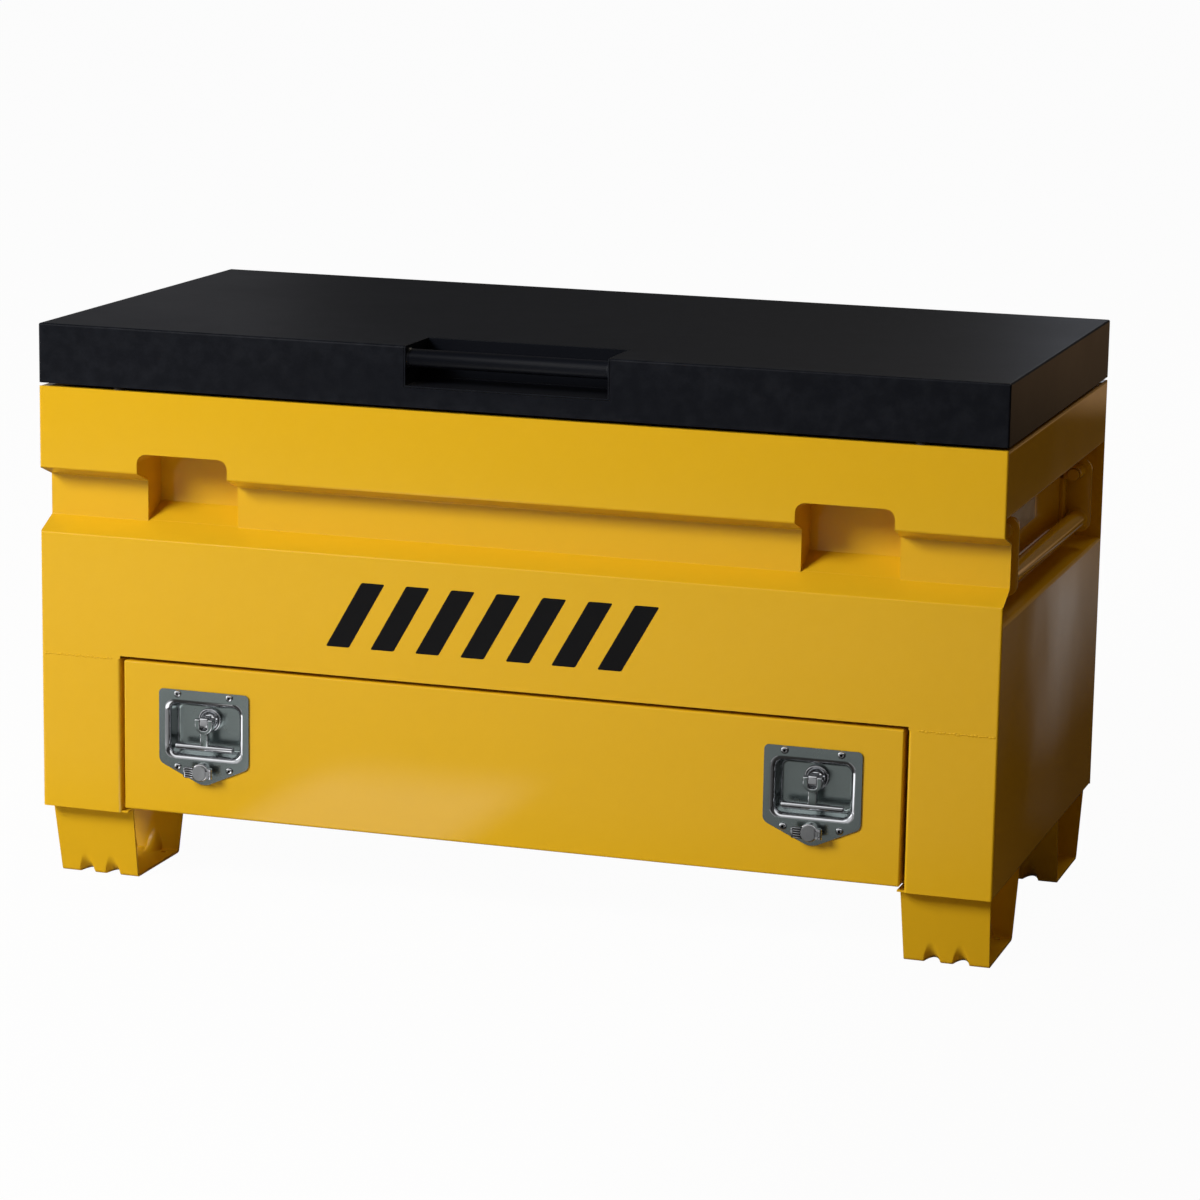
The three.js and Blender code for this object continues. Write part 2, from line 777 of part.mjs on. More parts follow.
// A leaf of the continuous hinge: its knuckles are the even or the odd ones.
function makeHingeLeaf(onLid) {
  const direction = onLid ? 1 : -1;
  const plateNear = hingeHeight + direction * (knuckleRadius + fitGap);
  const plateFar = hingeHeight + direction * leafHeight;
  const low = Math.min(plateNear, plateFar);
  const high = Math.max(plateNear, plateFar);
  const back = bodyDepth + leafThickness;
  const solids = [block(-hingeLength / 2, hingeLength / 2, bodyDepth, back, low, high)];
  for (let i = onLid ? 1 : 0; i < knuckleCount; i += 2) {
    const [from, to] = knuckleSpan(i);
    const barrel = alongX(circle(hingeAxisBack, hingeHeight, knuckleRadius, smallRoundSteps), from, to);
    const neckLow = Math.min(hingeHeight, plateNear + direction * fitGap);
    const neckHigh = Math.max(hingeHeight, plateNear + direction * fitGap);
    solids.push(barrel.add(block(from, to, bodyDepth, back, neckLow, neckHigh)));
  }
  const bore = circle(hingeAxisBack, hingeHeight, hingePinRadius + fitGap, smallRoundSteps);
  return joined(...solids).subtract(alongX(bore, -hingeLength, hingeLength));
}

function makeHingePin() {
  const outline = circle(hingeAxisBack, hingeHeight, hingePinRadius, smallRoundSteps);
  return alongX(outline, -hingeLength / 2, hingeLength / 2);
}

// Gas struts

const strutWallY = hingeAxisBack - strutWallReach;
const strutWallZ = hingeHeight - strutWallDrop;
const strutLidY = hingeAxisBack - strutLidReach;
const strutLidZ = hingeHeight + strutLidRise;
const strutLength = Math.hypot(strutLidY - strutWallY, strutLidZ - strutWallZ);
const strutTilt = Math.atan2(strutWallY - strutLidY, strutLidZ - strutWallZ);

function makeStrutWallBracket(side) {
  const wall = recessWall - sheet;
  const face = wall - bracketThickness;
  const eyeFar = strutPlane + strutEyeWidth / 2;
  const eyeNear = strutPlane - strutEyeWidth / 2;
  const half = bracketWidth / 2;
  const plateOutline = roundedRectangle(
    strutWallY - half, strutWallY + half, strutWallZ - half, strutWallZ + half, half / 2,
  );
  const at = (radius) => circle(strutWallY, strutWallZ, radius);
  return joined(
    alongX(plateOutline, ...span(side, face, wall)),
    alongX(at(pinHeadRadius), ...span(side, eyeFar + fitGap, face)),
    alongX(at(strutPinRadius), ...span(side, eyeNear - fitGap, eyeFar + fitGap)),
    alongX(at(pinHeadRadius), ...span(side, eyeNear - fitGap - pinHeadThickness, eyeNear - fitGap)),
  );
}

// The eye, tube and rod are drawn upright from the wall pivot, then tilted to the lid pivot.
function tilted(solid) {
  return solid.rotate([THREE.MathUtils.radToDeg(strutTilt), 0, 0]).translate([0, strutWallY, strutWallZ]);
}

function makeStrutCylinder(side) {
  const [left, right] = span(side, strutPlane - strutEyeWidth / 2, strutPlane + strutEyeWidth / 2);
  const top = strutLength - strutRodShow;
  const eye = alongX(circle(0, 0, strutEyeRadius), left, right);
  const neckHalf = strutEyeWidth / 2;
  const neck = block(left, right, -neckHalf, neckHalf, strutRodRadius, strutTubeStart + fitGap);
  const tube = alongZ(circle(side * strutPlane, 0, strutTubeRadius), strutTubeStart, top);
  const bore = alongZ(circle(side * strutPlane, 0, strutRodRadius + fitGap), strutBoreStart, top + overrun);
  const eyeBore = alongX(circle(0, 0, strutPinRadius + fitGap), left - overrun, right + overrun);
  return tilted(joined(eye, neck, tube).subtract(bore).subtract(eyeBore));
}

function makeStrutRod(side) {
  const [left, right] = span(side, strutPlane - strutEyeWidth / 2, strutPlane + strutEyeWidth / 2);
  const start = strutBoreStart + strutRodEndGap;
  const rod = alongZ(circle(side * strutPlane, 0, strutRodRadius), start, strutLength);
  const eye = alongX(circle(0, strutLength, strutEyeRadius), left, right);
  const studX = span(side, strutPlane, strutLidFace() - fitGap);
  const stud = alongX(circle(0, strutLength, strutPinRadius), ...studX);
  return tilted(joined(rod, eye, stud));
}

function strutLidFace() {
  return strutPlane + strutEyeWidth;
}

function makeStrutLidBracket(side) {
  const face = strutLidFace();
  const high = lidTop - sheet;
  const half = bracketWidth / 2;
  const low = strutLidZ - half;
  const path = [[face + bracketFoot, high], [face, high], [face, low]];
  const outline = sided(foldedOutline(path, bracketThickness, foldRadius), side);
  const front = strutLidY - half;
  const back = strutLidY + half;
  const profile = roundedOutline(rectangle(front, back, low, high), [half / 2, half / 2, 0, 0]);
  return alongY(outline, front, back).intersect(alongX(profile, ...span(side, 0, halfWidth)));
}

// Drop handles

// The pivot pin with its boss, the web that carries it and the rib that the web is welded to.
function makeHandlePivot(side, atBack) {
  const inner = armInset + armThickness / 2;
  const outer = armInset - armThickness / 2;
  const at = (radius) => circle(side * handlePivotX, handlePivotHeight, radius);
  const bossFront = outer - fitGap - handleBossLength;
  const webX = span(side, recessWall, handlePivotX);
  const ribX = span(side, recessWall, handleRibFace);
  const webFront = inner + handleWebInset;
  const webBack = inner + handlePinStub - handleWebInset;
  const webLow = handlePivotHeight - handleWebHeight / 2;
  const webHigh = handlePivotHeight + handleWebHeight / 2;
  const pivot = joined(
    alongY(at(handlePinRadius), bossFront, inner + handlePinStub),
    alongY(at(handleBossRadius), bossFront, outer - fitGap),
    block(...webX, webFront, webBack, webLow, webHigh),
    block(...ribX, webFront, webBack, armBottom, webHigh),
  );
  return atBack ? pivot.mirror([0, 1, 0]).translate([0, bodyDepth, 0]) : pivot;
}

function makeHandleArm(side, atBack) {
  const half = armWidth / 2;
  const corners = rectangle(handlePivotX - half, handlePivotX + half, armBottom, handlePivotHeight + half);
  const topRound = half - fitGap;
  const outline = sided(roundedOutline(corners, [armCorner, armCorner, topRound, topRound]), side);
  const front = armInset - armThickness / 2;
  const back = armInset + armThickness / 2;
  const bore = circle(side * handlePivotX, handlePivotHeight, handlePinRadius + fitGap);
  const arm = alongY(outline, front, back).subtract(alongY(bore, front - overrun, back + overrun));
  return atBack ? arm.mirror([0, 1, 0]).translate([0, bodyDepth, 0]) : arm;
}

function makeHandleGrip(side) {
  const end = armInset + armThickness / 2;
  return alongY(circle(side * handlePivotX, gripHeight, gripRadius), end, bodyDepth - end);
}

// Drawer

function makeDrawerFront() {
  const height = drawerFrontTop - drawerFrontBottom;
  const inside = drawerHalf - sheet;
  const face = drawerFrontDepth - sheet;
  const outer = softBlock(-drawerHalf, drawerHalf, 0, height, 0, drawerFrontDepth, edgeRadius);
  const inner = softBlock(-inside, inside, sheet, height - sheet, -overrun, face, edgeRadius - sheet);
  let pan = outer.subtract(inner).rotate([90, 0, 0]).translate([0, drawerFrontDepth, drawerFrontBottom]);
  for (const side of [-1, 1]) {
    const dishHole = dishOutline(side, dishWall + fitGap);
    const lockHole = circle(side * latchCentre, lockHeight, lockRadius + fitGap);
    pan = pan.subtract(alongY(dishHole, -overrun, drawerFrontDepth));
    pan = pan.subtract(alongY(lockHole, -overrun, drawerFrontDepth));
  }
  return pan;
}

function makeDrawerTray() {
  const inside = trayHalf - traySheet;
  const floor = trayBottom + traySheet;
  const high = trayBottom + trayHeight;
  const outer = block(-trayHalf, trayHalf, sheet, trayBack, trayBottom, high);
  const bay = block(-inside, inside, 0, trayBay, floor, high + overrun);
  const hollow = block(-inside, inside, trayBay + traySheet, trayBack - traySheet, floor, high + overrun);
  return outer.subtract(bay).subtract(hollow);
}

// The fixed member of a slide stands on the base pan beside the tray.
function makeSlideChannel(side) {
  const web = trayHalf + slideWeb;
  const top = slideBottom + slideHeight;
  const foot = panFloor + sheet;
  const path = [[web - slideLip, top], [web, top], [web, foot], [web + slideFoot, foot]];
  const back = bodyDepth - slideRearGap;
  const strip = alongY(sided(foldedOutline(path, slideSheet, slideSheet), side), slideFront, back);
  const ledgeX = span(side, web - slideLip, web + slideSheet);
  return strip.add(block(...ledgeX, slideFront, back, slideBottom - slideSheet, slideBottom));
}

function makeSlideRail(side) {
  const low = slideBottom + fitGap;
  const high = slideBottom + slideHeight - fitGap;
  const far = trayHalf + slideWeb - fitGap - slideSheet;
  const back = trayBack - slideRailGap;
  const outer = block(...span(side, trayHalf, far), slideFront, back, low, high);
  const hollow = block(
    ...span(side, trayHalf + slideSheet, far + overrun),
    slideFront - overrun, back + overrun, low + slideSheet, high - slideSheet,
  );
  return outer.subtract(hollow);
}

// Latches

function dishOutline(side, wall) {
  const [left, right] = spanAbout(side, latchCentre, dishWidth + 2 * wall);
  return roundedRectangle(left, right, dishBottom - wall, dishTop + wall, dishCorner + wall);
}

function makeLatchDish(side) {
  const centre = side * latchCentre;
  const half = latchPlateWidth / 2;
  const face = -latchPlateThickness;
  const corners = [
    [centre - half, dishBottom - latchShoulderDrop],
    [centre, lockHeight - latchApexDrop],
    [centre + half, dishBottom - latchShoulderDrop],
    [centre + half, latchPlateTop],
    [centre - half, latchPlateTop],
  ];
  const plate = alongY(roundedOutline(corners, latchCorner), face, 0);
  const lip = alongY(dishOutline(side, dishLipWidth), face - dishLipHeight, face);
  const dish = alongY(dishOutline(side, dishWall), face, dishDepth + dishWall);
  const mouth = alongY(dishOutline(side, 0), face - dishLipHeight - overrun, dishDepth);
  const shaftHole = alongY(circle(centre, hubHeight, hubShaftRadius + fitGap), 0, dishDepth + overrun);
  const lockHole = alongY(circle(centre, lockHeight, lockRadius + fitGap), face - overrun, overrun);
  return joined(plate, lip, dish).subtract(mouth).subtract(shaftHole).subtract(lockHole);
}

// The hub's rim and dome, its rim at height zero and its face upwards.
function hubProfile() {
  const face = hubRadius * hubFaceShare;
  const profile = [[0, 0], [hubRadius, 0]];
  for (let i = 0; i <= domeSteps; i += 1) {
    const angle = (i / domeSteps) * (Math.PI / 2);
    const radius = face + (hubRadius - face) * Math.cos(angle);
    profile.push([radius, hubRim + hubDome * Math.sin(angle)]);
  }
  profile.push([0, hubRim + hubDome]);
  return profile;
}

// Shaft, domed hub, the tongue that the T-handle straddles, and the cam. The cam points to the box's
// middle when it is released and up behind the strike lip when the handle is turned.
function makeLatchSpindle(side) {
  const centre = side * latchCentre;
  const hubBack = dishDepth - fitGap;
  const hubFront = hubBack - hubRim;
  const shaft = alongY(circle(centre, hubHeight, hubShaftRadius), hubFront, camPlane + camThickness);
  const hub = turned(hubProfile()).rotate([90, 0, 0]).translate([centre, hubBack, hubHeight]);
  const tongueFront = forkPinInset - tongueReach;
  const tongueHalf = tongueHeight / 2;
  const tongueSides = rectangle(tongueFront, hubFront, hubHeight - tongueHalf, hubHeight + tongueHalf);
  const tongue = roundedOutline(tongueSides, [tongueCorner, 0, 0, tongueCorner]);
  const pin = circle(forkPinInset, hubHeight, forkPinRadius, smallRoundSteps);
  const pinHalf = forkGap / 2 + prongWidth - fitGap;
  const camHalf = camWidth / 2;
  const camTip = centre - side * camLength;
  const camLeft = Math.min(centre, camTip);
  const camRight = Math.max(centre, camTip);
  const camCorners = rectangle(camLeft, camRight, hubHeight - camHalf, hubHeight + camHalf);
  return joined(
    shaft,
    hub,
    alongX(tongue, centre - tongueWidth / 2, centre + tongueWidth / 2),
    alongX(pin, centre - pinHalf, centre + pinHalf),
    alongY(circle(centre, hubHeight, hubRadius), camPlane, camPlane + camThickness),
    alongY(roundedOutline(camCorners, camHalf / 2), camPlane, camPlane + camThickness),
  );
}

// A fork whose prongs straddle the tongue, a stem and a cross bar with chamfered ends.
function makeTHandle(side) {
  const centre = side * latchCentre;
  const half = forkGap / 2 + prongWidth;
  const high = hubHeight + prongRadius;
  const forkRound = half - fitGap;
  const front = forkPinInset - prongRadius;
  const back = forkPinInset + prongRadius;
  const faceCorners = rectangle(centre - half, centre + half, forkBottom, high);
  const face = roundedOutline(faceCorners, [forkRound, forkRound, 0, 0]);
  const gapBottom = forkBottom + forkHeel;
  const gapCorners = rectangle(centre - forkGap / 2, centre + forkGap / 2, gapBottom, high + overrun);
  const gap = roundedOutline(gapCorners, [forkCorner, forkCorner, 0, 0]);
  const prongRound = prongRadius - fitGap;
  const cheek = roundedOutline(rectangle(front, back, forkBottom, high), [0, 0, prongRound, prongRound]);
  const fork = alongY(face, front, back)
    .subtract(alongY(gap, front - overrun, back + overrun))
    .intersect(alongX(cheek, centre - half, centre + half));
  const barY = forkPinInset - stemReach;
  const stemTop = forkBottom + forkHeel / 2;
  const stemHalf = stemThickness / 2;
  const stemOutline = [
    [forkPinInset - stemHalf, stemTop],
    [forkPinInset + stemHalf, stemTop],
    [barY + stemHalf, barHeight],
    [barY - stemHalf, barHeight],
  ];
  const stem = alongX(stemOutline, centre - stemWidth / 2, centre + stemWidth / 2);
  const bar = turned([
    [0, -barLength / 2],
    [barRadius - barChamfer, -barLength / 2],
    [barRadius, barChamfer - barLength / 2],
    [barRadius, barLength / 2 - barChamfer],
    [barRadius - barChamfer, barLength / 2],
    [0, barLength / 2],
  ]).rotate([0, 90, 0]).translate([centre, barY, barHeight]);
  const bore = circle(forkPinInset, hubHeight, forkPinRadius + fitGap, smallRoundSteps);
  return joined(fork, stem, bar).subtract(alongX(bore, centre - half - overrun, centre + half + overrun));
}

function makeLockBarrel(side) {
  const centre = side * latchCentre;
  const pinX = centre + coverHingeReach;
  const body = alongY(circle(centre, lockHeight, lockRadius), -lockReach, lockTail);
  const keyway = block(
    centre - keywayWidth / 2, centre + keywayWidth / 2, -lockReach - overrun, -lockReach + keywayDepth,
    lockHeight - keywayHeight / 2, lockHeight + keywayHeight / 2,
  );
  const knuckleHalf = coverKnuckleHeight / 2;
  const lugBack = -lockReach + 2 * coverKnuckleRadius;
  const lugs = [-1, 1].map((way) => {
    const near = lockHeight + way * (knuckleHalf + fitGap);
    const far = near + way * coverLugHeight;
    const low = Math.min(near, far);
    const high = Math.max(near, far);
    const arm = block(centre, pinX + coverKnuckleRadius, -coverHingeOut, lugBack, low, high);
    return arm.add(alongZ(circle(pinX, -coverHingeOut, coverKnuckleRadius, smallRoundSteps), low, high));
  });
  const [left, right] = [centre - lockRadius, centre + lockRadius];
  const front = block(left, right, -coverFace - overrun, -lockReach, 0, bodyTop);
  const pinLow = lockHeight - knuckleHalf - coverLugHeight;
  const pinHigh = lockHeight + knuckleHalf + coverLugHeight;
  const pin = alongZ(circle(pinX, -coverHingeOut, coverPinRadius, smallRoundSteps), pinLow, pinHigh);
  return joined(body, ...lugs).subtract(front).add(pin).subtract(keyway);
}

// A disc over the keyhole, hinged on its right, with a ribbed finger tab on its left.
function makeDustCover(side) {
  const centre = side * latchCentre;
  const pinX = centre + coverHingeReach;
  const back = -lockReach - fitGap;
  const front = -coverFace;
  const disc = alongY(circle(centre, lockHeight, coverRadius), front, back);
  const tabRight = centre - coverRadius / 2;
  const tabLeft = centre - coverRadius / 2 - coverTabLength;
  const tabLow = lockHeight - coverTabHeight / 2;
  const tabHigh = lockHeight + coverTabHeight / 2;
  const tab = alongY(roundedRectangle(tabLeft, tabRight, tabLow, tabHigh, coverTabCorner), front, back);
  const ribFront = front - coverRibHeight;
  const ribPitch = coverTabHeight / coverRibCount;
  const ribHalf = (ribPitch * coverRibShare) / 2;
  const ribs = [];
  for (let i = 0; i < coverRibCount; i += 1) {
    const middle = tabLow + ribPitch * (i + 1 / 2);
    ribs.push(block(tabLeft, centre - coverRadius, ribFront, back, middle - ribHalf, middle + ribHalf));
  }
  const lipLow = tabLow + coverTabCorner;
  const lipHigh = tabHigh - coverTabCorner;
  const lip = block(tabLeft, tabLeft + coverTabLip, ribFront, back, lipLow, lipHigh);
  const knuckleLow = lockHeight - coverKnuckleHeight / 2;
  const knuckleHigh = lockHeight + coverKnuckleHeight / 2;
  const barrel = circle(pinX, -coverHingeOut, coverKnuckleRadius, smallRoundSteps);
  const knuckle = alongZ(barrel, knuckleLow, knuckleHigh);
  const ear = block(centre, pinX, front, back, knuckleLow, knuckleHigh);
  const pinHole = circle(pinX, -coverHingeOut, coverPinRadius + fitGap, smallRoundSteps);
  return joined(disc, tab, ...ribs, lip, ear, knuckle)
    .subtract(alongZ(pinHole, knuckleLow - overrun, knuckleHigh + overrun));
}

// Finishes

function finish(colour, roughness, metalness) {
  return new THREE.MeshStandardMaterial({ color: colour, roughness, metalness });
}

const yellowPaint = finish(0xdcaf2d, 0.35, 0.1);
const blackPaint = finish(0x16181a, 0.45, 0.1);
const stainless = finish(0xb9bcbf, 0.3, 1);
const zincSteel = finish(0x9a9da0, 0.4, 1);
const rubber = finish(0x101010, 0.85, 0);

// Assembly

const box = new THREE.Group();
// The origin lies under the middle of the whole box, from dust covers to hinge barrel.
box.position.y = (reachFront - reachBack) / 2;

function place(name, solid, material) {
  const mesh = new THREE.Mesh(geometryOf(solid), material);
  mesh.name = name;
  box.add(mesh);
}

place('front_panel', makeFrontPanel(), yellowPaint);
place('back_panel', makeBackPanel(), yellowPaint);
place('chest_floor', makeChestFloor(), yellowPaint);
place('base_pan', makeBasePan(), yellowPaint);
place('lid_shell', makeLidShell(), blackPaint);
place('lid_handle_pan', makeLidHandlePan(), blackPaint);
place('lid_handle_bar', makeLidHandleBar(), blackPaint);
place('lid_stiffener', makeLidStiffener(), blackPaint);
place('lid_hinge_leaf', makeHingeLeaf(true), zincSteel);
place('body_hinge_leaf', makeHingeLeaf(false), zincSteel);
place('hinge_pin', makeHingePin(), zincSteel);
place('drawer_front', makeDrawerFront(), yellowPaint);
place('drawer_tray', makeDrawerTray(), yellowPaint);

for (const [side, name] of [[-1, 'left'], [1, 'right']]) {
  place(`${name}_side_panel`, makeSidePanel(side), yellowPaint);
  place(`${name}_front_post`, makePost(side), yellowPaint);
  place(`${name}_lock_pocket`, makePocket(side), yellowPaint);
  place(`${name}_lid_bumper`, makeBumper(side), rubber);
  place(`${name}_lock_lug`, makeLockLug(side), blackPaint);
  place(`${name}_strut_wall_bracket`, makeStrutWallBracket(side), zincSteel);
  place(`${name}_strut_cylinder`, makeStrutCylinder(side), blackPaint);
  place(`${name}_strut_rod`, makeStrutRod(side), zincSteel);
  place(`${name}_strut_lid_bracket`, makeStrutLidBracket(side), blackPaint);
  place(`${name}_handle_grip`, makeHandleGrip(side), yellowPaint);
  for (const [atBack, end] of [[false, 'front'], [true, 'rear']]) {
    place(`${name}_${end}_leg`, makeLeg(side, atBack), yellowPaint);
    place(`${name}_${end}_handle_pivot`, makeHandlePivot(side, atBack), yellowPaint);
    place(`${name}_${end}_handle_arm`, makeHandleArm(side, atBack), yellowPaint);
  }
  place(`${name}_slide_channel`, makeSlideChannel(side), zincSteel);
  place(`${name}_slide_rail`, makeSlideRail(side), zincSteel);
  place(`${name}_latch_dish`, makeLatchDish(side), stainless);
  place(`${name}_latch_spindle`, makeLatchSpindle(side), stainless);
  place(`${name}_t_handle`, makeTHandle(side), stainless);
  place(`${name}_lock_barrel`, makeLockBarrel(side), stainless);
  place(`${name}_dust_cover`, makeDustCover(side), stainless);
}

export default box;
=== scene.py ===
"""Dresses the jobsite storage box: finishes, pressed steel, latches, handles, trim and studio.

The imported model's frame is in metres. The parts' own sizes are in millimetres, measured from the
middle of the box, its front panel's face and the floor, and place turns them into the frame.
"""

from __future__ import annotations

import json
import logging
import math
from dataclasses import dataclass, field
from enum import Enum
from typing import Callable, Iterable, Sequence

import bmesh
import bpy
from bmesh.types import BMEdge, BMesh, BMFace, BMVert
from bpy.types import (ID, Material, Node, NodeSocket, NodeTree, Object, World,
                       bpy_prop_collection)
from mathutils import Matrix, Vector

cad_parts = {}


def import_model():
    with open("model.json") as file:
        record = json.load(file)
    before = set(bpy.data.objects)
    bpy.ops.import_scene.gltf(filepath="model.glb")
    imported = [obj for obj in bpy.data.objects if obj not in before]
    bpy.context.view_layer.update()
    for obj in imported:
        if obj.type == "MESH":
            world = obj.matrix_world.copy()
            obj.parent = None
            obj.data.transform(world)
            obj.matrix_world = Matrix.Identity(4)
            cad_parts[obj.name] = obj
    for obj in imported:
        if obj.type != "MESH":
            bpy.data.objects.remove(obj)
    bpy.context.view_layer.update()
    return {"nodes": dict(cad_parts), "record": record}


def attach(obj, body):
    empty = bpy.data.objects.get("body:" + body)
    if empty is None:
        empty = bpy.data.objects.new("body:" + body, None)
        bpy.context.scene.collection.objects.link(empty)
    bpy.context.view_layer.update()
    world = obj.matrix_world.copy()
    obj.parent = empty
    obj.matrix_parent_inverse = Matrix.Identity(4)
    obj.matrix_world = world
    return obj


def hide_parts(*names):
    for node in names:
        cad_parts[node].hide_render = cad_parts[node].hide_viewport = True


LOG = logging.getLogger("storage_box")
MM = 0.001
FRONT_Y = -295.35
BODY_DEPTH = 600.0
SAME_SPOT = 1e-7
SAME_CORNER = 2e-6
FRONTWARD = -0.98

Colour = tuple[float, float, float]
Profile = Sequence[tuple[float, float]]


class Side(Enum):
    """The two ends of the box as one faces its front."""

    LEFT = -1
    RIGHT = 1

    @property
    def label(self) -> str:
        """The prefix of the pieces on this side."""
        return self.name.lower()


class End(Enum):
    """The front and the rear half of the box, which mirror each other."""

    FRONT = "front"
    REAR = "rear"

    def deep(self, y: float) -> float:
        """Mirrors a depth for the rear."""
        return y if self is End.FRONT else BODY_DEPTH - y


class Axis(Enum):
    """The direction about which a profile is turned."""

    X = (1, 0, 0)
    Y = (0, 1, 0)
    Z = (0, 0, 1)


def place(x: float, y: float, z: float) -> Vector:
    """Turns a place on the box into the model's frame."""
    return Vector((x * MM, (y + FRONT_Y) * MM, z * MM))


# Shader graphs


class Graph:
    """Adds, fills and links the nodes of one node tree."""

    @classmethod
    def on(cls, owner: Material | World) -> Graph:
        """Starts with the emptied nodes of a material or world.

        Args:
            owner: The material or world.

        Returns:
            Its graph.
        """
        owner.use_nodes = True
        owner.node_tree.nodes.clear()
        return cls(owner.node_tree)

    def __init__(self, tree: NodeTree) -> None:
        """Keeps the tree."""
        self.tree = tree

    def feed(self, socket: NodeSocket, value: object) -> None:
        """Links a socket to an input, or sets the input's value.

        Args:
            socket: The input.
            value: A socket, a number or a colour.
        """
        if isinstance(value, NodeSocket):
            self.tree.links.new(value, socket)
        else:
            socket.default_value = (*value, 1) if socket.type == "RGBA" else value

    def add(self, kind: str, inputs: dict | None = None, **settings: object) -> Node:
        """Adds a node.

        Args:
            kind: The node's type name without its ShaderNode prefix.
            inputs: What its inputs get, by name or number.
            **settings: Properties to set on the node.

        Returns:
            The node.
        """
        node = self.tree.nodes.new(f"ShaderNode{kind}")
        for name, value in settings.items():
            setattr(node, name, value)
        for key, value in (inputs or {}).items():
            self.feed(node.inputs[key], value)
        return node

    def math(self, operation: str, first: object, *others: object) -> NodeSocket:
        """Adds one math node for each pair of values.

        Args:
            operation: The operation's name.
            first: A socket or a number.
            *others: What it meets, one after the other; none for an operation of one value.

        Returns:
            The result.
        """
        if not others:
            return self.add("Math", {0: first}, operation=operation).outputs[0]
        for other in others:
            first = self.add("Math", {0: first, 1: other}, operation=operation).outputs[0]
        return first

    def blend(self, share: object, first: object, second: object) -> NodeSocket:
        """Mixes two colours."""
        return self.add("Mix", {0: share, 6: first, 7: second}, data_type="RGBA").outputs[2]

    def remap(self, value: NodeSocket, low: float, high: float, to_low: object,
              to_high: object) -> NodeSocket:
        """Maps a range of values onto another one and holds its ends."""
        return self.add("MapRange", {"Value": value, "From Min": low, "From Max": high,
                                     "To Min": to_low, "To Max": to_high}).outputs[0]

    def noise(self, vector: NodeSocket, scale: object, detail: float = 2.0,
              rough: float = 0.5) -> NodeSocket:
        """Adds a noise texture."""
        return self.add("TexNoise", {"Vector": vector, "Scale": scale, "Detail": detail,
                                     "Roughness": rough}).outputs["Fac"]

    def parts(self, kind: str) -> bpy_prop_collection:
        """Splits texture coordinates."""
        return self.add("SeparateXYZ", {0: self.add("TexCoord").outputs[kind]}).outputs


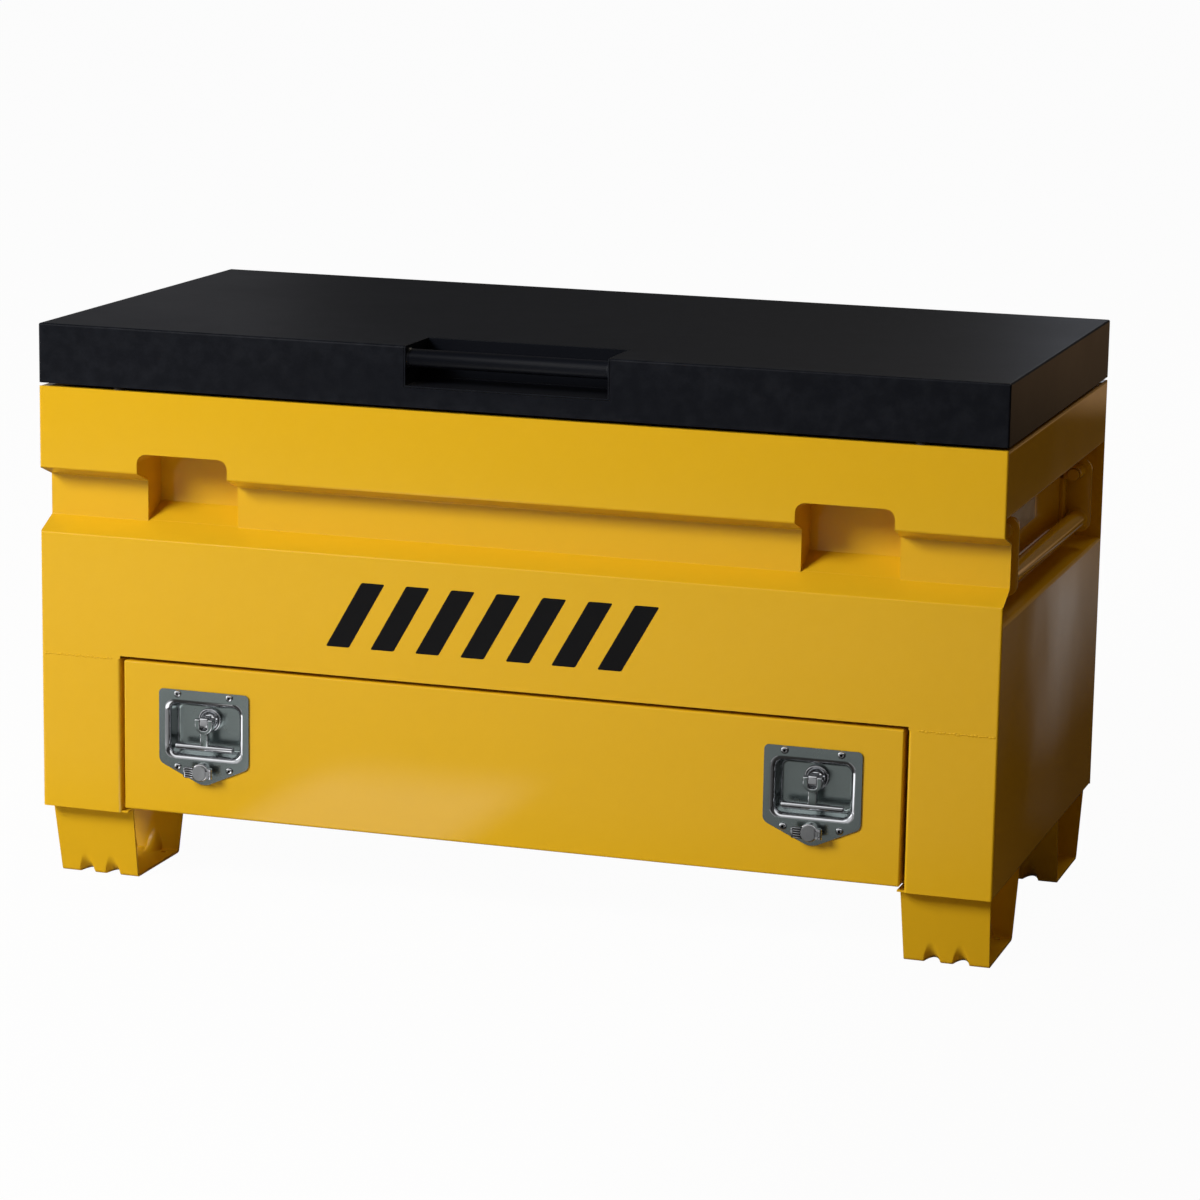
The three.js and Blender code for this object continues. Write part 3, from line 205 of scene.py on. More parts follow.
class SharedEffects:
    """The node groups that more than one finish uses, each built once."""

    def __init__(self) -> None:
        """Builds the groups."""
        make = self._group
        self.tone = make("Tone drift", {"Colour": (0.5, 0.5, 0.5), "Deep": (0.4, 0.4, 0.4),
                                        "Scale": 3.0}, ["Colour"], self._tone)
        self.patches = make("Gloss patches", {"Scale": 6.0, "Low": 0.3, "High": 0.4},
                            ["Value"], self._patches)
        self.peel = make("Orange peel", {"Scale": 500.0, "Height": 0.00001},
                         ["Height"], self._peel)
        self.waves = make("Panel waves", {"Scale": 4.0, "Height": 0.001}, ["Height"], self._waves)
        self.brushing = make("Brushed lines", {"Height": 0.000004}, ["Height", "Value"],
                             self._brushing)
        self.edges = make("Edge wear", {"Amount": 0.5}, ["Mask"], self._edges)

    @staticmethod
    def _group(name: str, inputs: dict[str, object], outputs: Sequence[str],
               fill: Callable[[Graph, object], tuple]) -> NodeTree:
        """Makes a group that takes coordinates and named values.

        Args:
            name: The group's name.
            inputs: Each input's default, a number or a colour.
            outputs: The outputs' names.
            fill: Adds the nodes and returns what each output gets.

        Returns:
            The group.
        """
        tree = bpy.data.node_groups.new(name, "ShaderNodeTree")
        new_socket = tree.interface.new_socket
        new_socket("Vector", in_out="INPUT", socket_type="NodeSocketVector")
        for label, default in inputs.items():
            if isinstance(default, tuple):
                socket = new_socket(label, in_out="INPUT", socket_type="NodeSocketColor")
                socket.default_value = (*default, 1)
            else:
                socket = new_socket(label, in_out="INPUT", socket_type="NodeSocketFloat")
                socket.default_value = default
        for label in outputs:
            kind = "NodeSocketColor" if label == "Colour" else "NodeSocketFloat"
            new_socket(label, in_out="OUTPUT", socket_type=kind)
        graph = Graph(tree)
        results = fill(graph, tree.nodes.new("NodeGroupInput").outputs)
        target = tree.nodes.new("NodeGroupOutput")
        for label, result in zip(outputs, results):
            graph.feed(target.inputs[label], result)
        return tree

    @staticmethod
    def _tone(graph: Graph, source: object) -> tuple:
        """Two close tones of a colour that drift into each other over the surface.

        Args:
            graph: The group's graph.
            source: The group's inputs.

        Returns:
            The colour.
        """
        broad = graph.noise(source["Vector"], source["Scale"], 3.0, 0.55)
        fine = graph.noise(source["Vector"], graph.math("MULTIPLY", source["Scale"], 40.0))
        share = graph.math("ADD", graph.math("MULTIPLY", broad, 0.75),
                           graph.math("MULTIPLY", fine, 0.25))
        share = graph.remap(share, 0.25, 0.75, 0.0, 1.0)
        return (graph.blend(share, source["Colour"], source["Deep"]),)

    @staticmethod
    def _patches(graph: Graph, source: object) -> tuple:
        """A value that wanders between two limits, for roughness."""
        noise = graph.noise(source["Vector"], source["Scale"], 4.0, 0.6)
        return (graph.remap(noise, 0.3, 0.7, source["Low"], source["High"]),)

    @staticmethod
    def _peel(graph: Graph, source: object) -> tuple:
        """The orange-peel skin of a powder coat.

        Args:
            graph: The group's graph.
            source: The group's inputs.

        Returns:
            The height in metres.
        """
        coarse = graph.noise(source["Vector"], source["Scale"], 1.0)
        finer = graph.math("MULTIPLY", source["Scale"], 3.1)
        fine = graph.math("MULTIPLY", graph.noise(source["Vector"], finer, 1.0), 0.35)
        return (graph.math("MULTIPLY", graph.math("ADD", coarse, fine), source["Height"]),)

    @staticmethod
    def _waves(graph: Graph, source: object) -> tuple:
        """The slow oil-canning of a large steel panel."""
        noise = graph.noise(source["Vector"], source["Scale"], 1.5, 0.4)
        return (graph.math("MULTIPLY", noise, source["Height"]),)

    @staticmethod
    def _brushing(graph: Graph, source: object) -> tuple:
        """Fine lines along one direction.

        Args:
            graph: The group's graph.
            source: The group's inputs.

        Returns:
            The height in metres, and the lines' value.
        """
        mapping = graph.add("Mapping", {"Vector": source["Vector"],
                                        "Scale": (60.0, 1500.0, 1500.0)})
        lines = graph.noise(mapping.outputs["Vector"], 1.0, 3.0, 0.6)
        return graph.math("MULTIPLY", lines, source["Height"]), lines

    @staticmethod
    def _edges(graph: Graph, source: object) -> tuple:
        """A mask of outer edges, lightened for wear and as a painted highlight.

        Args:
            graph: The group's graph.
            source: The group's inputs.

        Returns:
            The mask.
        """
        pointed = graph.add("NewGeometry").outputs["Pointiness"]
        ridge = graph.remap(pointed, 0.505, 0.56, 0.0, 1.0)
        broken = graph.remap(graph.noise(source["Vector"], 60.0, 4.0, 0.7), 0.4, 0.65, 0.2, 1.0)
        return (graph.math("MULTIPLY", ridge, broken, source["Amount"]),)


@dataclass(frozen=True)
class Coating:
    """The look of a surface: two close tones, wandering gloss and a fine relief."""

    name: str
    colour: Colour
    deep: Colour
    roughness: tuple[float, float]
    # edge colour lightens the outer edges: partly wear, partly a painted highlight
    edge: Colour = (0.0, 0.0, 0.0)
    wear: float = 0.0
    peel: float = 0.0
    peel_scale: float = 500.0
    waves: float = 0.0
    coat: float = 0.0
    coat_roughness: float = 0.12
    specular: float = 0.5
    tone_scale: float = 2.5
    gloss_scale: float = 6.0

    def build(self, effects: SharedEffects) -> Material:
        """Makes the material.

        Args:
            effects: The shared node groups.

        Returns:
            The material.
        """
        material = bpy.data.materials.new(self.name)
        graph = Graph.on(material)
        shader = graph.add("BsdfPrincipled")
        graph.add("OutputMaterial", {"Surface": shader.outputs[0]})
        spot = graph.add("TexCoord").outputs["Object"]
        tone = self._use(graph, effects.tone, spot, Colour=self.colour, Deep=self.deep,
                         Scale=self.tone_scale)
        colour, height = self._surface(graph, effects, spot, tone.outputs["Colour"])
        gloss = self._use(graph, effects.patches, spot, Scale=self.gloss_scale,
                          Low=self.roughness[0], High=self.roughness[1])
        bump = graph.add("Bump", {"Distance": 1.0, "Strength": 1.0, "Height": height})
        wanted = {"Base Color": colour, "Roughness": gloss.outputs["Value"],
                  "Normal": bump.outputs[0], **self._constants()}
        for name, value in wanted.items():
            graph.feed(shader.inputs[name], value)
        return material

    @staticmethod
    def _use(graph: Graph, group: NodeTree, spot: NodeSocket, **values: object) -> Node:
        """Places a shared group in a material."""
        return graph.add("Group", {"Vector": spot, **values}, node_tree=group)

    def _constants(self) -> dict[str, float]:
        """The shader's values that are the same all over."""
        return {"Specular IOR Level": self.specular, "Coat Weight": self.coat,
                "Coat Roughness": self.coat_roughness}

    def _surface(self, graph: Graph, effects: SharedEffects, spot: NodeSocket,
                 tone: NodeSocket) -> tuple:
        """Edges lightened for wear and as a painted highlight, orange peel and the panels' slow
        waves.

        Args:
            graph: The material's graph.
            effects: The shared node groups.
            spot: The coordinates.
            tone: The drifting colour.

        Returns:
            The colour and the height in metres.
        """
        # Lighter outer edges, partly wear and partly a painted highlight.
        if self.wear:
            worn_and_lit = self._use(graph, effects.edges, spot, Amount=self.wear)
            tone = graph.blend(worn_and_lit.outputs["Mask"], tone, self.edge)
        peel = self._use(graph, effects.peel, spot, Scale=self.peel_scale, Height=self.peel)
        waves = self._use(graph, effects.waves, spot, Height=self.waves)
        return tone, graph.math("ADD", peel.outputs["Height"], waves.outputs["Height"])


@dataclass(frozen=True)
class Metal(Coating):
    """A bare or plated metal with fine lines."""

    brushed: float = 0.0

    def _constants(self) -> dict[str, float]:
        """The shader's values that are the same all over."""
        return {"Metallic": 1.0}

    def _surface(self, graph: Graph, effects: SharedEffects, spot: NodeSocket,
                 tone: NodeSocket) -> tuple:
        """Brushed lines, darker in their grooves.

        Args:
            graph: The material's graph.
            effects: The shared node groups.
            spot: The coordinates.
            tone: The drifting colour.

        Returns:
            The colour and the height in metres.
        """
        lines = self._use(graph, effects.brushing, spot, Height=self.brushed)
        grooves = 0.35 if self.brushed else 0.05
        shade = graph.remap(lines.outputs["Value"], 0.3, 0.7, 0.0, grooves)
        return graph.blend(shade, tone, self.deep), lines.outputs["Height"]


def metal(name: str, colour: Colour, deep: Colour, roughness: tuple[float, float],
          brushed: float = 0.0, patches: float = 30.0) -> Metal:
    """A metal whose tone and gloss wander at scales that go together."""
    return Metal(name, colour, deep, roughness, tone_scale=patches / 3, gloss_scale=patches,
                 brushed=brushed)


def moulded(name: str, colour: Colour, roughness: tuple[float, float] = (0.6, 0.8),
            grain: float = 0.00002) -> Coating:
    """A matt moulded rubber or plastic."""
    deep = tuple(0.7 * part for part in colour)
    return Coating(name, colour, deep, roughness, peel=grain, peel_scale=1400.0,
                   tone_scale=30.0, gloss_scale=80.0)


class Finish(Enum):
    """The finishes of the box."""

    # YELLOW's and BLACK's edge colours are lighter than their paint: partly wear, partly a painted
    # highlight.
    YELLOW = Coating("yellow_powder_coat", (0.735, 0.424, 0.012), (0.715, 0.408, 0.011),
                     (0.07, 0.09), edge=(0.80, 0.50, 0.04), wear=0.06, peel=0.0000025,
                     waves=0.0011, specular=0.34)
    BLACK = Coating("satin_black_powder_coat", (0.0042, 0.0049, 0.0076), (0.0036, 0.0042, 0.0062),
                    (0.36, 0.39), edge=(0.022, 0.024, 0.030), wear=0.35, peel=0.000003,
                    waves=0.0003, coat=0.03, coat_roughness=0.3, specular=0.09)
    STENCIL = Coating("black_stencil_paint", (0.0055, 0.0055, 0.0062), (0.0075, 0.0075, 0.008),
                      (0.40, 0.5), peel=0.000004, specular=0.08)
    GLOSS_BLACK = Coating("gloss_black_tube", (0.010, 0.010, 0.011), (0.008, 0.008, 0.009),
                          (0.14, 0.2), peel=0.000002)
    PLATE = metal("brushed_stainless", (0.33, 0.385, 0.375), (0.25, 0.29, 0.285), (0.22, 0.28),
                  0.0000012)
    POLISHED = metal("polished_stainless", (0.60, 0.61, 0.63), (0.50, 0.51, 0.53), (0.07, 0.12))
    CHROME = metal("chrome", (0.70, 0.70, 0.72), (0.62, 0.62, 0.64), (0.05, 0.10))
    ZINC = metal("bright_zinc", (0.50, 0.51, 0.52), (0.38, 0.39, 0.40), (0.28, 0.42), 0.000001,
                 90.0)
    RUBBER = moulded("black_rubber", (0.012, 0.012, 0.012))
    # Near-black paint in the screws' sockets, the keyway and between the tab's ribs, as painted
    # shade.
    SOCKET = moulded("dark_socket", (0.006, 0.006, 0.006), (0.5, 0.7))
    LABEL = moulded("blank_label", (0.84, 0.80, 0.80), (0.3, 0.45), 0.000003)


# Shapes


def turn(bm: BMesh, profile: Profile, axis: Axis, centre: Vector, steps: int,
         way: float = 1.0) -> None:
    """Turns a profile about an axis.

    Args:
        bm: The bmesh to add to.
        profile: Points of radius and distance along the axis, in millimetres.
        axis: The axis.
        centre: Where the profile's zero lies, in metres.
        steps: The steps round.
        way: 1.0, or -1.0 to mirror the profile.
    """
    along = Vector(axis.value)
    out = Vector(Axis.X.value if axis is Axis.Z else Axis.Z.value)
    verts = [bm.verts.new(centre + out * radius * MM + along * (way * reach) * MM)
             for radius, reach in profile]
    edges = [bm.edges.new(pair) for pair in zip(verts, verts[1:])]
    known = set(bm.faces)
    bmesh.ops.spin(bm, geom=verts + edges, cent=centre, axis=along, angle=math.tau, steps=steps,
                   use_merge=True)
    ring = {vert for face in fresh(bm, known) for vert in face.verts}
    bmesh.ops.remove_doubles(bm, verts=list(ring), dist=SAME_SPOT)
    bmesh.ops.recalc_face_normals(bm, faces=fresh(bm, known))


def fresh(bm: BMesh, known: set) -> list[BMFace]:
    """Finds the faces made since a moment."""
    return [face for face in bm.faces if face not in known]


def rod(radius: float, start: float, end: float, ease: float = 0.0) -> Profile:
    """The profile of a solid rod with eased rims."""
    points = [(0.0, start), (radius - ease, start), (radius, start + ease), (radius, end - ease),
              (radius - ease, end), (0.0, end)]
    return list(dict.fromkeys(points))


def sleeve(outer: float, bore: float, start: float, end: float, ease: float) -> Profile:
    """The profile of a short tube with eased rims."""
    return [(bore, start), *rod(outer, start, end, ease)[1:-1], (bore, end), (bore, start)]


def both_ends(half: Profile) -> Profile:
    """Mirrors a profile's first half."""
    return [*half, *((radius, -reach) for radius, reach in reversed(half))]


def rectangle(left: float, right: float, y: float, low: float, high: float) -> list[Vector]:
    """The corners of an upright rectangle that faces the front."""
    return [place(left, y, low), place(right, y, low), place(right, y, high),
            place(left, y, high)]


def outline_face(bm: BMesh, corners: Sequence[Vector], radii: Sequence[float],
                 segments: int = 6) -> BMFace:
    """Makes a flat face and rounds its corners.

    Args:
        bm: The bmesh to add to.
        corners: The corners in order, in metres.
        radii: Each corner's radius in millimetres, 0 for a sharp one.
        segments: The steps of each rounding.

    Returns:
        The face.
    """
    verts = [bm.verts.new(corner) for corner in corners]
    face = bm.faces.new(verts)
    for radius in sorted({value for value in radii if value > 0}):
        chosen = [vert for vert, value in zip(verts, radii) if value == radius and vert.is_valid]
        known = set(bm.faces)
        bmesh.ops.bevel(bm, geom=chosen, offset=radius * MM, offset_type="OFFSET",
                        segments=segments, profile=0.5, affect="VERTICES", material=-1)
        face = next(iter(fresh(bm, known)), face)
    return face


def prism(bm: BMesh, corners: Sequence[Vector], radii: Sequence[float], segments: int,
          reach: Vector) -> list[BMFace]:
    """Makes a solid from an outline with rounded corners.

    Args:
        bm: The bmesh to add to.
        corners: The corners in order, in metres.
        radii: Each corner's radius in millimetres, 0 for a sharp one.
        segments: The steps of each rounding.
        reach: The way and length of the solid in millimetres.

    Returns:
        The new faces.
    """
    known = set(bm.faces)
    face = outline_face(bm, corners, radii, segments)
    made = bmesh.ops.extrude_face_region(bm, geom=[face], use_keep_orig=True)["geom"]
    far = [item for item in made if isinstance(item, BMVert)]
    bmesh.ops.translate(bm, verts=far, vec=reach * MM)
    faces = fresh(bm, known)
    bmesh.ops.recalc_face_normals(bm, faces=faces)
    return faces


def bevel_edges(bm: BMesh, edges: list, width: float, segments: int) -> None:
    """Bevels edges."""
    bmesh.ops.bevel(bm, geom=edges, offset=width * MM, offset_type="OFFSET", segments=segments,
                    profile=0.5, affect="EDGES", clamp_overlap=True, material=-1)


def soften(bm: BMesh, width: float, segments: int = 2, past: float = 40.0,
           faces: Iterable[BMFace] | None = None) -> None:
    """Bevels the edges that are sharper than an angle.

    Args:
        bm: The bmesh.
        width: The bevel's width in millimetres.
        segments: Its segments.
        past: Degrees past which an edge is bevelled.
        faces: Only the edges of these faces, or all of them.
    """
    pool = bm.edges if faces is None else {edge for face in faces for edge in face.edges}
    limit = math.radians(past)
    sharp = [edge for edge in pool
             if len(edge.link_faces) == 2 and edge.calc_face_angle() > limit]
    bevel_edges(bm, sharp, width, segments)


def add_box(bm: BMesh, first: Vector, second: Vector) -> list[BMFace]:
    """Adds a box between two opposite corners.

    Args:
        bm: The bmesh.
        first: A corner in metres.
        second: The corner across from it.

    Returns:
        The new faces.
    """
    known = set(bm.faces)
    size = [abs(length) for length in second - first]
    matrix = Matrix.Translation((first + second) / 2) @ Matrix.Diagonal((*size, 1.0))
    bmesh.ops.create_cube(bm, size=1.0, matrix=matrix)
    return fresh(bm, known)


def add_object(name: str, data: ID) -> Object:
    """Adds an object to the scene.

    Args:
        name: The object's name.
        data: Its mesh, camera or light.

    Returns:
        The object.
    """
    made = bpy.data.objects.new(name, data)
    bpy.context.scene.collection.objects.link(made)
    return made


def make_sheet(piece: Object, thickness: float, ease: float, segments: int) -> None:
    """Gives a surface a sheet's thickness and eased rims.

    Args:
        piece: The surface.
        thickness: The sheet's thickness in millimetres.
        ease: The width of the eased rims in millimetres.
        segments: The rims' segments.
    """
    wall = piece.modifiers.new("sheet", "SOLIDIFY")
    wall.thickness = thickness * MM
    wall.offset = -1.0
    wall.use_even_offset = True
    rims = piece.modifiers.new("eased edge", "BEVEL")
    rims.width = ease * MM
    rims.segments = segments
    rims.limit_method = "ANGLE"
    rims.angle_limit = math.radians(60)


def weigh_normals(piece: Object) -> None:
    """Keeps the flat faces between eased edges flat in the light."""
    piece.modifiers.new("weighted normals", "WEIGHTED_NORMAL").keep_sharp = True


@dataclass
class Workshop:
    """What every sub-assembly needs to make, dress and place its pieces."""

    nodes: dict[str, Object]
    bodies: dict[str, str]
    slots: dict[str, str]
    effects: SharedEffects = field(default_factory=SharedEffects)
    paints: dict[Finish, Material] = field(default_factory=dict)
    made: list[str] = field(default_factory=list)

    def put(self, bm: BMesh, name: str, body: str, slot: str, finishes: Sequence[Finish],
            sharp: float = 50.0, stands_for: Sequence[str] = ()) -> Object:
        """Places a finished shape in the scene.

        Args:
            bm: The shape, freed afterwards.
            name: The piece's name.
            body: The body that it rides on.
            slot: The material slot of the record; it is not used.
            finishes: The finishes of its material slots.
            sharp: Degrees past which an edge stays sharp.
            stands_for: The nodes that it replaces.

        Returns:
            The piece.
        """
        mesh = bpy.data.meshes.new(name)
        bm.to_mesh(mesh)
        bm.free()
        mesh.shade_smooth()
        mesh.set_sharp_from_angle(angle=math.radians(sharp))
        piece = add_object(name, mesh)
        for finish in finishes:
            if finish not in self.paints:
                self.paints[finish] = finish.value.build(self.effects)
            mesh.materials.append(self.paints[finish])
        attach(piece, body)
        if stands_for:
            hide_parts(*stands_for)
        self.made.append(name)
        LOG.info("%s: %d faces, rides on %s", name, len(mesh.polygons), body)
        return piece

    def fit(self, bm: BMesh, node: str, suffix: str, finishes: Sequence[Finish],
            sharp: float = 50.0) -> Object:
        """Puts a new shape in a node's place."""
        return self.put(bm, f"{node}_{suffix}", self.bodies[node], self.slots[node], finishes,
                        sharp, [node])

    def dress(self, node: str, finish: Finish, width: float, past: float = 40.0) -> None:
        """Puts a copy of a node's mesh in its place, with eased edges and a finish.

        Args:
            node: The node's name.
            finish: Its finish.
            width: The width of the eased edges in millimetres.
            past: Degrees past which an edge is eased.
        """
        bm = bmesh.new()
        bm.from_mesh(self.nodes[node].data)
        bmesh.ops.remove_doubles(bm, verts=bm.verts, dist=SAME_CORNER)
        bmesh.ops.dissolve_limit(bm, angle_limit=math.radians(0.5), verts=bm.verts,
                                 edges=bm.edges, delimit={"NORMAL"})
        soften(bm, width, past=past)
        weigh_normals(self.fit(bm, node, "dressed", [finish]))


# Sub-assemblies


@dataclass
class Sided:
    """A sub-assembly that the box has once on each side."""

    shop: Workshop
    side: Side

    def fit(self, bm: BMesh, node: str, suffix: str, finishes: Sequence[Finish],
            sharp: float = 40.0) -> None:
        """Puts a shape in the place of one of this side's nodes."""
        self.shop.fit(bm, f"{self.side.label}_{node}", suffix, finishes, sharp)


@dataclass
class Carcass:
    """The welded body of the box: panels, posts, pockets and floor."""

    shop: Workshop
    seam_edge: float = 0.22
    weld_span: tuple[float, float] = (516.0, 604.0)
    weld_height: float = 290.0
    weld_beads: int = 22
    bead: tuple[float, float, float] = (2.6, 0.55, 1.3)
    label_corners: tuple[tuple, tuple] = ((574.55, 150.0, 490.0), (574.7, 333.0, 541.0))
    bar_count: int = 7
    bar_first: float = -228.0
    bar_pitch: float = 58.0
    bar_width: float = 30.0
    bar_slant: float = 46.0
    bar_span: tuple[float, float] = (330.0, 412.0)

    def build(self) -> None:
        """Dresses the carcass and adds its welds, label plate and painted bars."""
        for node in ("front_panel", "back_panel", "chest_floor", "base_pan"):
            self.shop.dress(node, Finish.YELLOW, self.seam_edge)
        for side in Side:
            for part in ("side_panel", "front_post", "lock_pocket"):
                self.shop.dress(f"{side.label}_{part}", Finish.YELLOW, self.seam_edge)
            self._post_weld(side)
        self._blank_label()
        self._stencil_bars()

    def _post_weld(self, side: Side) -> None:
        """The ground weld where a corner post meets the front panel.

        Args:
            side: The post's side.
        """
        bm = bmesh.new()
        start, end = self.weld_span
        wide, proud, tall = self.bead
        for index in range(self.weld_beads):
            along = start + (end - start) * index / (self.weld_beads - 1)
            rise = self.weld_height + 0.5 * math.sin(index * 2.1)
            height = tall + 0.4 * math.sin(index * 1.3)
            matrix = Matrix.Translation(place(side.value * along, -0.02, rise))
            matrix = matrix @ Matrix.Diagonal((wide * MM, proud * MM, height * MM, 1.0))
            bmesh.ops.create_icosphere(bm, subdivisions=2, radius=1.0, matrix=matrix)
        self.shop.put(bm, f"{side.label}_post_weld", "root", "yellow_paint", [Finish.YELLOW],
                      180.0)

    def _blank_label(self) -> None:
        """The bare white plate on the wall of the right recess."""
        bm = bmesh.new()
        add_box(bm, *(place(*corner) for corner in self.label_corners))
        soften(bm, 0.05, 1)
        self.shop.put(bm, "recess_label", "root", "yellow_paint", [Finish.LABEL])

    def _stencil_bars(self) -> None:
        """Plain slanted bars of stencil paint below the groove."""
        bm = bmesh.new()
        proud = -0.14
        low, high = self.bar_span
        for index in range(self.bar_count):
            left = self.bar_first + self.bar_pitch * index
            right = left + self.bar_width
            corners = [place(left, proud, low), place(right, proud, low),
                       place(right + self.bar_slant, proud, high),
                       place(left + self.bar_slant, proud, high)]
            prism(bm, corners, [2.0] * 4, 3, Vector((0.0, 0.12, 0.0)))
        self.shop.put(bm, "stencil_bars", "root", "yellow_paint", [Finish.STENCIL])


@dataclass
class Legs:
    """The four legs: thick strip folded up at both ends, with two gussets in each bend."""

    shop: Workshop
    inner: float = 495.0
    outer: float = 604.0
    taper: float = 2.5
    top: float = 93.0
    front: float = 18.0
    foot_front: float = 37.0
    foot_rear: float = 165.0
    rear: float = 186.0
    sheet: float = 3.0
    bend: float = 5.0
    gusset_bend: float = 36.0
    gusset_half: float = 10.6
    gussets: tuple[float, float] = (531.0, 568.0)
    holes: tuple[tuple, ...] = ((549.5, 101.0, 7.0), (512.5, 151.0, 4.0), (586.5, 151.0, 4.0))
    columns: int = 120
    wall_rows: int = 16
    bend_rows: int = 14
    foot_rows: int = 96

    def build(self) -> None:
        """Makes the four legs."""
        for side in Side:
            for end in End:
                self._leg(side, end)

    def _bend_radius(self, x: float) -> float:
        """The outer radius of the bends, wider in the gussets.

        Args:
            x: Millimetres from the middle of the box.

        Returns:
            The radius in millimetres.
        """
        radius = self.bend
        for centre in self.gussets:
            away = abs(x - centre) / self.gusset_half
            if away < 1.0:
                swell = (1.0 - away * away) ** 0.8
                radius = max(radius, self.bend + (self.gusset_bend - self.bend) * swell)
        return radius

    def _profile(self, radius: float) -> list[Vector]:
        """The leg's outer face from its front top to its rear top.

        Args:
            radius: The radius of both bends in millimetres.

        Returns:
            Points of depth and height in millimetres.
        """
        corners = [Vector((self.front, self.top)), Vector((self.foot_front, 0.0)),
                   Vector((self.foot_rear, 0.0)), Vector((self.rear, self.top))]
        ways = [(after - before).normalized() for before, after in zip(corners, corners[1:])]
        points = [corners[0]]
        for corner, before, after, rows in zip(corners[1:], ways, ways[1:],
                                               (self.wall_rows, self.foot_rows)):
            angle = before.angle(after)
            inward = Vector((-before.y, before.x))
            entry = corner - before * (radius * math.tan(angle / 2))
            centre = entry + inward * radius
            points += self._run(points[-1], entry, rows)
            for step in range(1, self.bend_rows + 1):
                turned = angle * step / self.bend_rows
                spoke = -inward * math.cos(turned) + before * math.sin(turned)
                points.append(centre + spoke * radius)
        return points + self._run(points[-1], corners[-1], self.wall_rows)

    @staticmethod
    def _run(start: Vector, end: Vector, rows: int) -> list[Vector]:
        """Even steps along a straight run."""
        return [start.lerp(end, (step + 1) / rows) for step in range(rows)]

    def _leg(self, side: Side, end: End) -> None:
        """One leg from a flat grid that is folded and pressed.

        Args:
            side: The leg's side.
            end: Its end.
        """
        rows = 2 * self.wall_rows + 2 * self.bend_rows + self.foot_rows
        bm = bmesh.new()
        bmesh.ops.create_grid(bm, x_segments=self.columns, y_segments=rows, size=0.5)
        profiles: dict[int, list[Vector]] = {}
        for vert in bm.verts:
            column = round((vert.co.x + 0.5) * self.columns)
            row = round((vert.co.y + 0.5) * rows)
            across = column / self.columns
            x = self.inner + (self.outer - self.inner) * across
            if column not in profiles:
                profiles[column] = self._profile(self._bend_radius(x))
            depth, height = profiles[column][row]
            pinch = self.taper * (1.0 - height / self.top) * (1.0 - 2.0 * across)
            vert.co = place(side.value * (x + pinch), end.deep(depth), height)
        for across, deep, radius in self.holes:
            self._open_hole(bm, place(side.value * across, end.deep(deep), 0.0), radius * MM)
        bmesh.ops.recalc_face_normals(bm, faces=bm.faces)
        lowest = min(bm.faces, key=lambda face: face.calc_center_median().z)
        if lowest.normal.z > 0:
            bmesh.ops.reverse_faces(bm, faces=bm.faces)
        piece = self.shop.fit(bm, f"{side.label}_{end.value}_leg", "pressed", [Finish.YELLOW],
                              70.0)
        make_sheet(piece, self.sheet, 0.4, 2)

    @staticmethod
    def _open_hole(bm: BMesh, centre: Vector, radius: float) -> None:
        """Opens a round hole in the foot.

        Args:
            bm: The folded leg.
            centre: The hole's centre in metres.
            radius: Its radius in metres.
        """
        inside = []
        for face in bm.faces:
            spot = face.calc_center_median()
            if (spot - centre).length < radius and abs(spot.z) < MM:
                inside.append(face)
        bmesh.ops.delete(bm, geom=inside, context="FACES")
        for vert in bm.verts:
            spoke = vert.co - centre
            if vert.is_boundary and abs(vert.co.z) < 0.1 * MM and spoke.length < radius * 2:
                vert.co = centre + spoke.normalized() * radius


@dataclass
class Lid:
    """The black lid with its handle recess, bar, stiffener, lugs and brackets."""

    shop: Workshop
    bar_radius: float = 11.0
    bar_inset: float = 14.0
    bar_height: float = 689.0
    bar_half: float = 127.0

    def build(self) -> None:
        """Dresses the lid and makes its bar."""
        self.shop.dress("lid_shell", Finish.BLACK, 0.35, 36.0)
        self.shop.dress("lid_handle_pan", Finish.BLACK, 0.5, 36.0)
        self.shop.dress("lid_stiffener", Finish.BLACK, 0.25)
        for side in Side:
            self.shop.dress(f"{side.label}_lock_lug", Finish.BLACK, 0.6)
            self.shop.dress(f"{side.label}_strut_lid_bracket", Finish.BLACK, 0.4)
        self._bar()

    def _bar(self) -> None:
        """The round bar across the handle recess, with a weld bead at each end."""
        bm = bmesh.new()
        end, radius = self.bar_half, self.bar_radius
        bead = radius + 1.6
        half = [(0.0, -end), (bead, -end), (bead, 0.8 - end), (radius + 0.5, 2.4 - end),
                (radius, 3.4 - end)]
        turn(bm, both_ends(half), Axis.X, place(0.0, self.bar_inset, self.bar_height), 64)
        self.shop.put(bm, "lid_bar", "lid", "black_paint", [Finish.BLACK],
                      stands_for=["lid_handle_bar"])


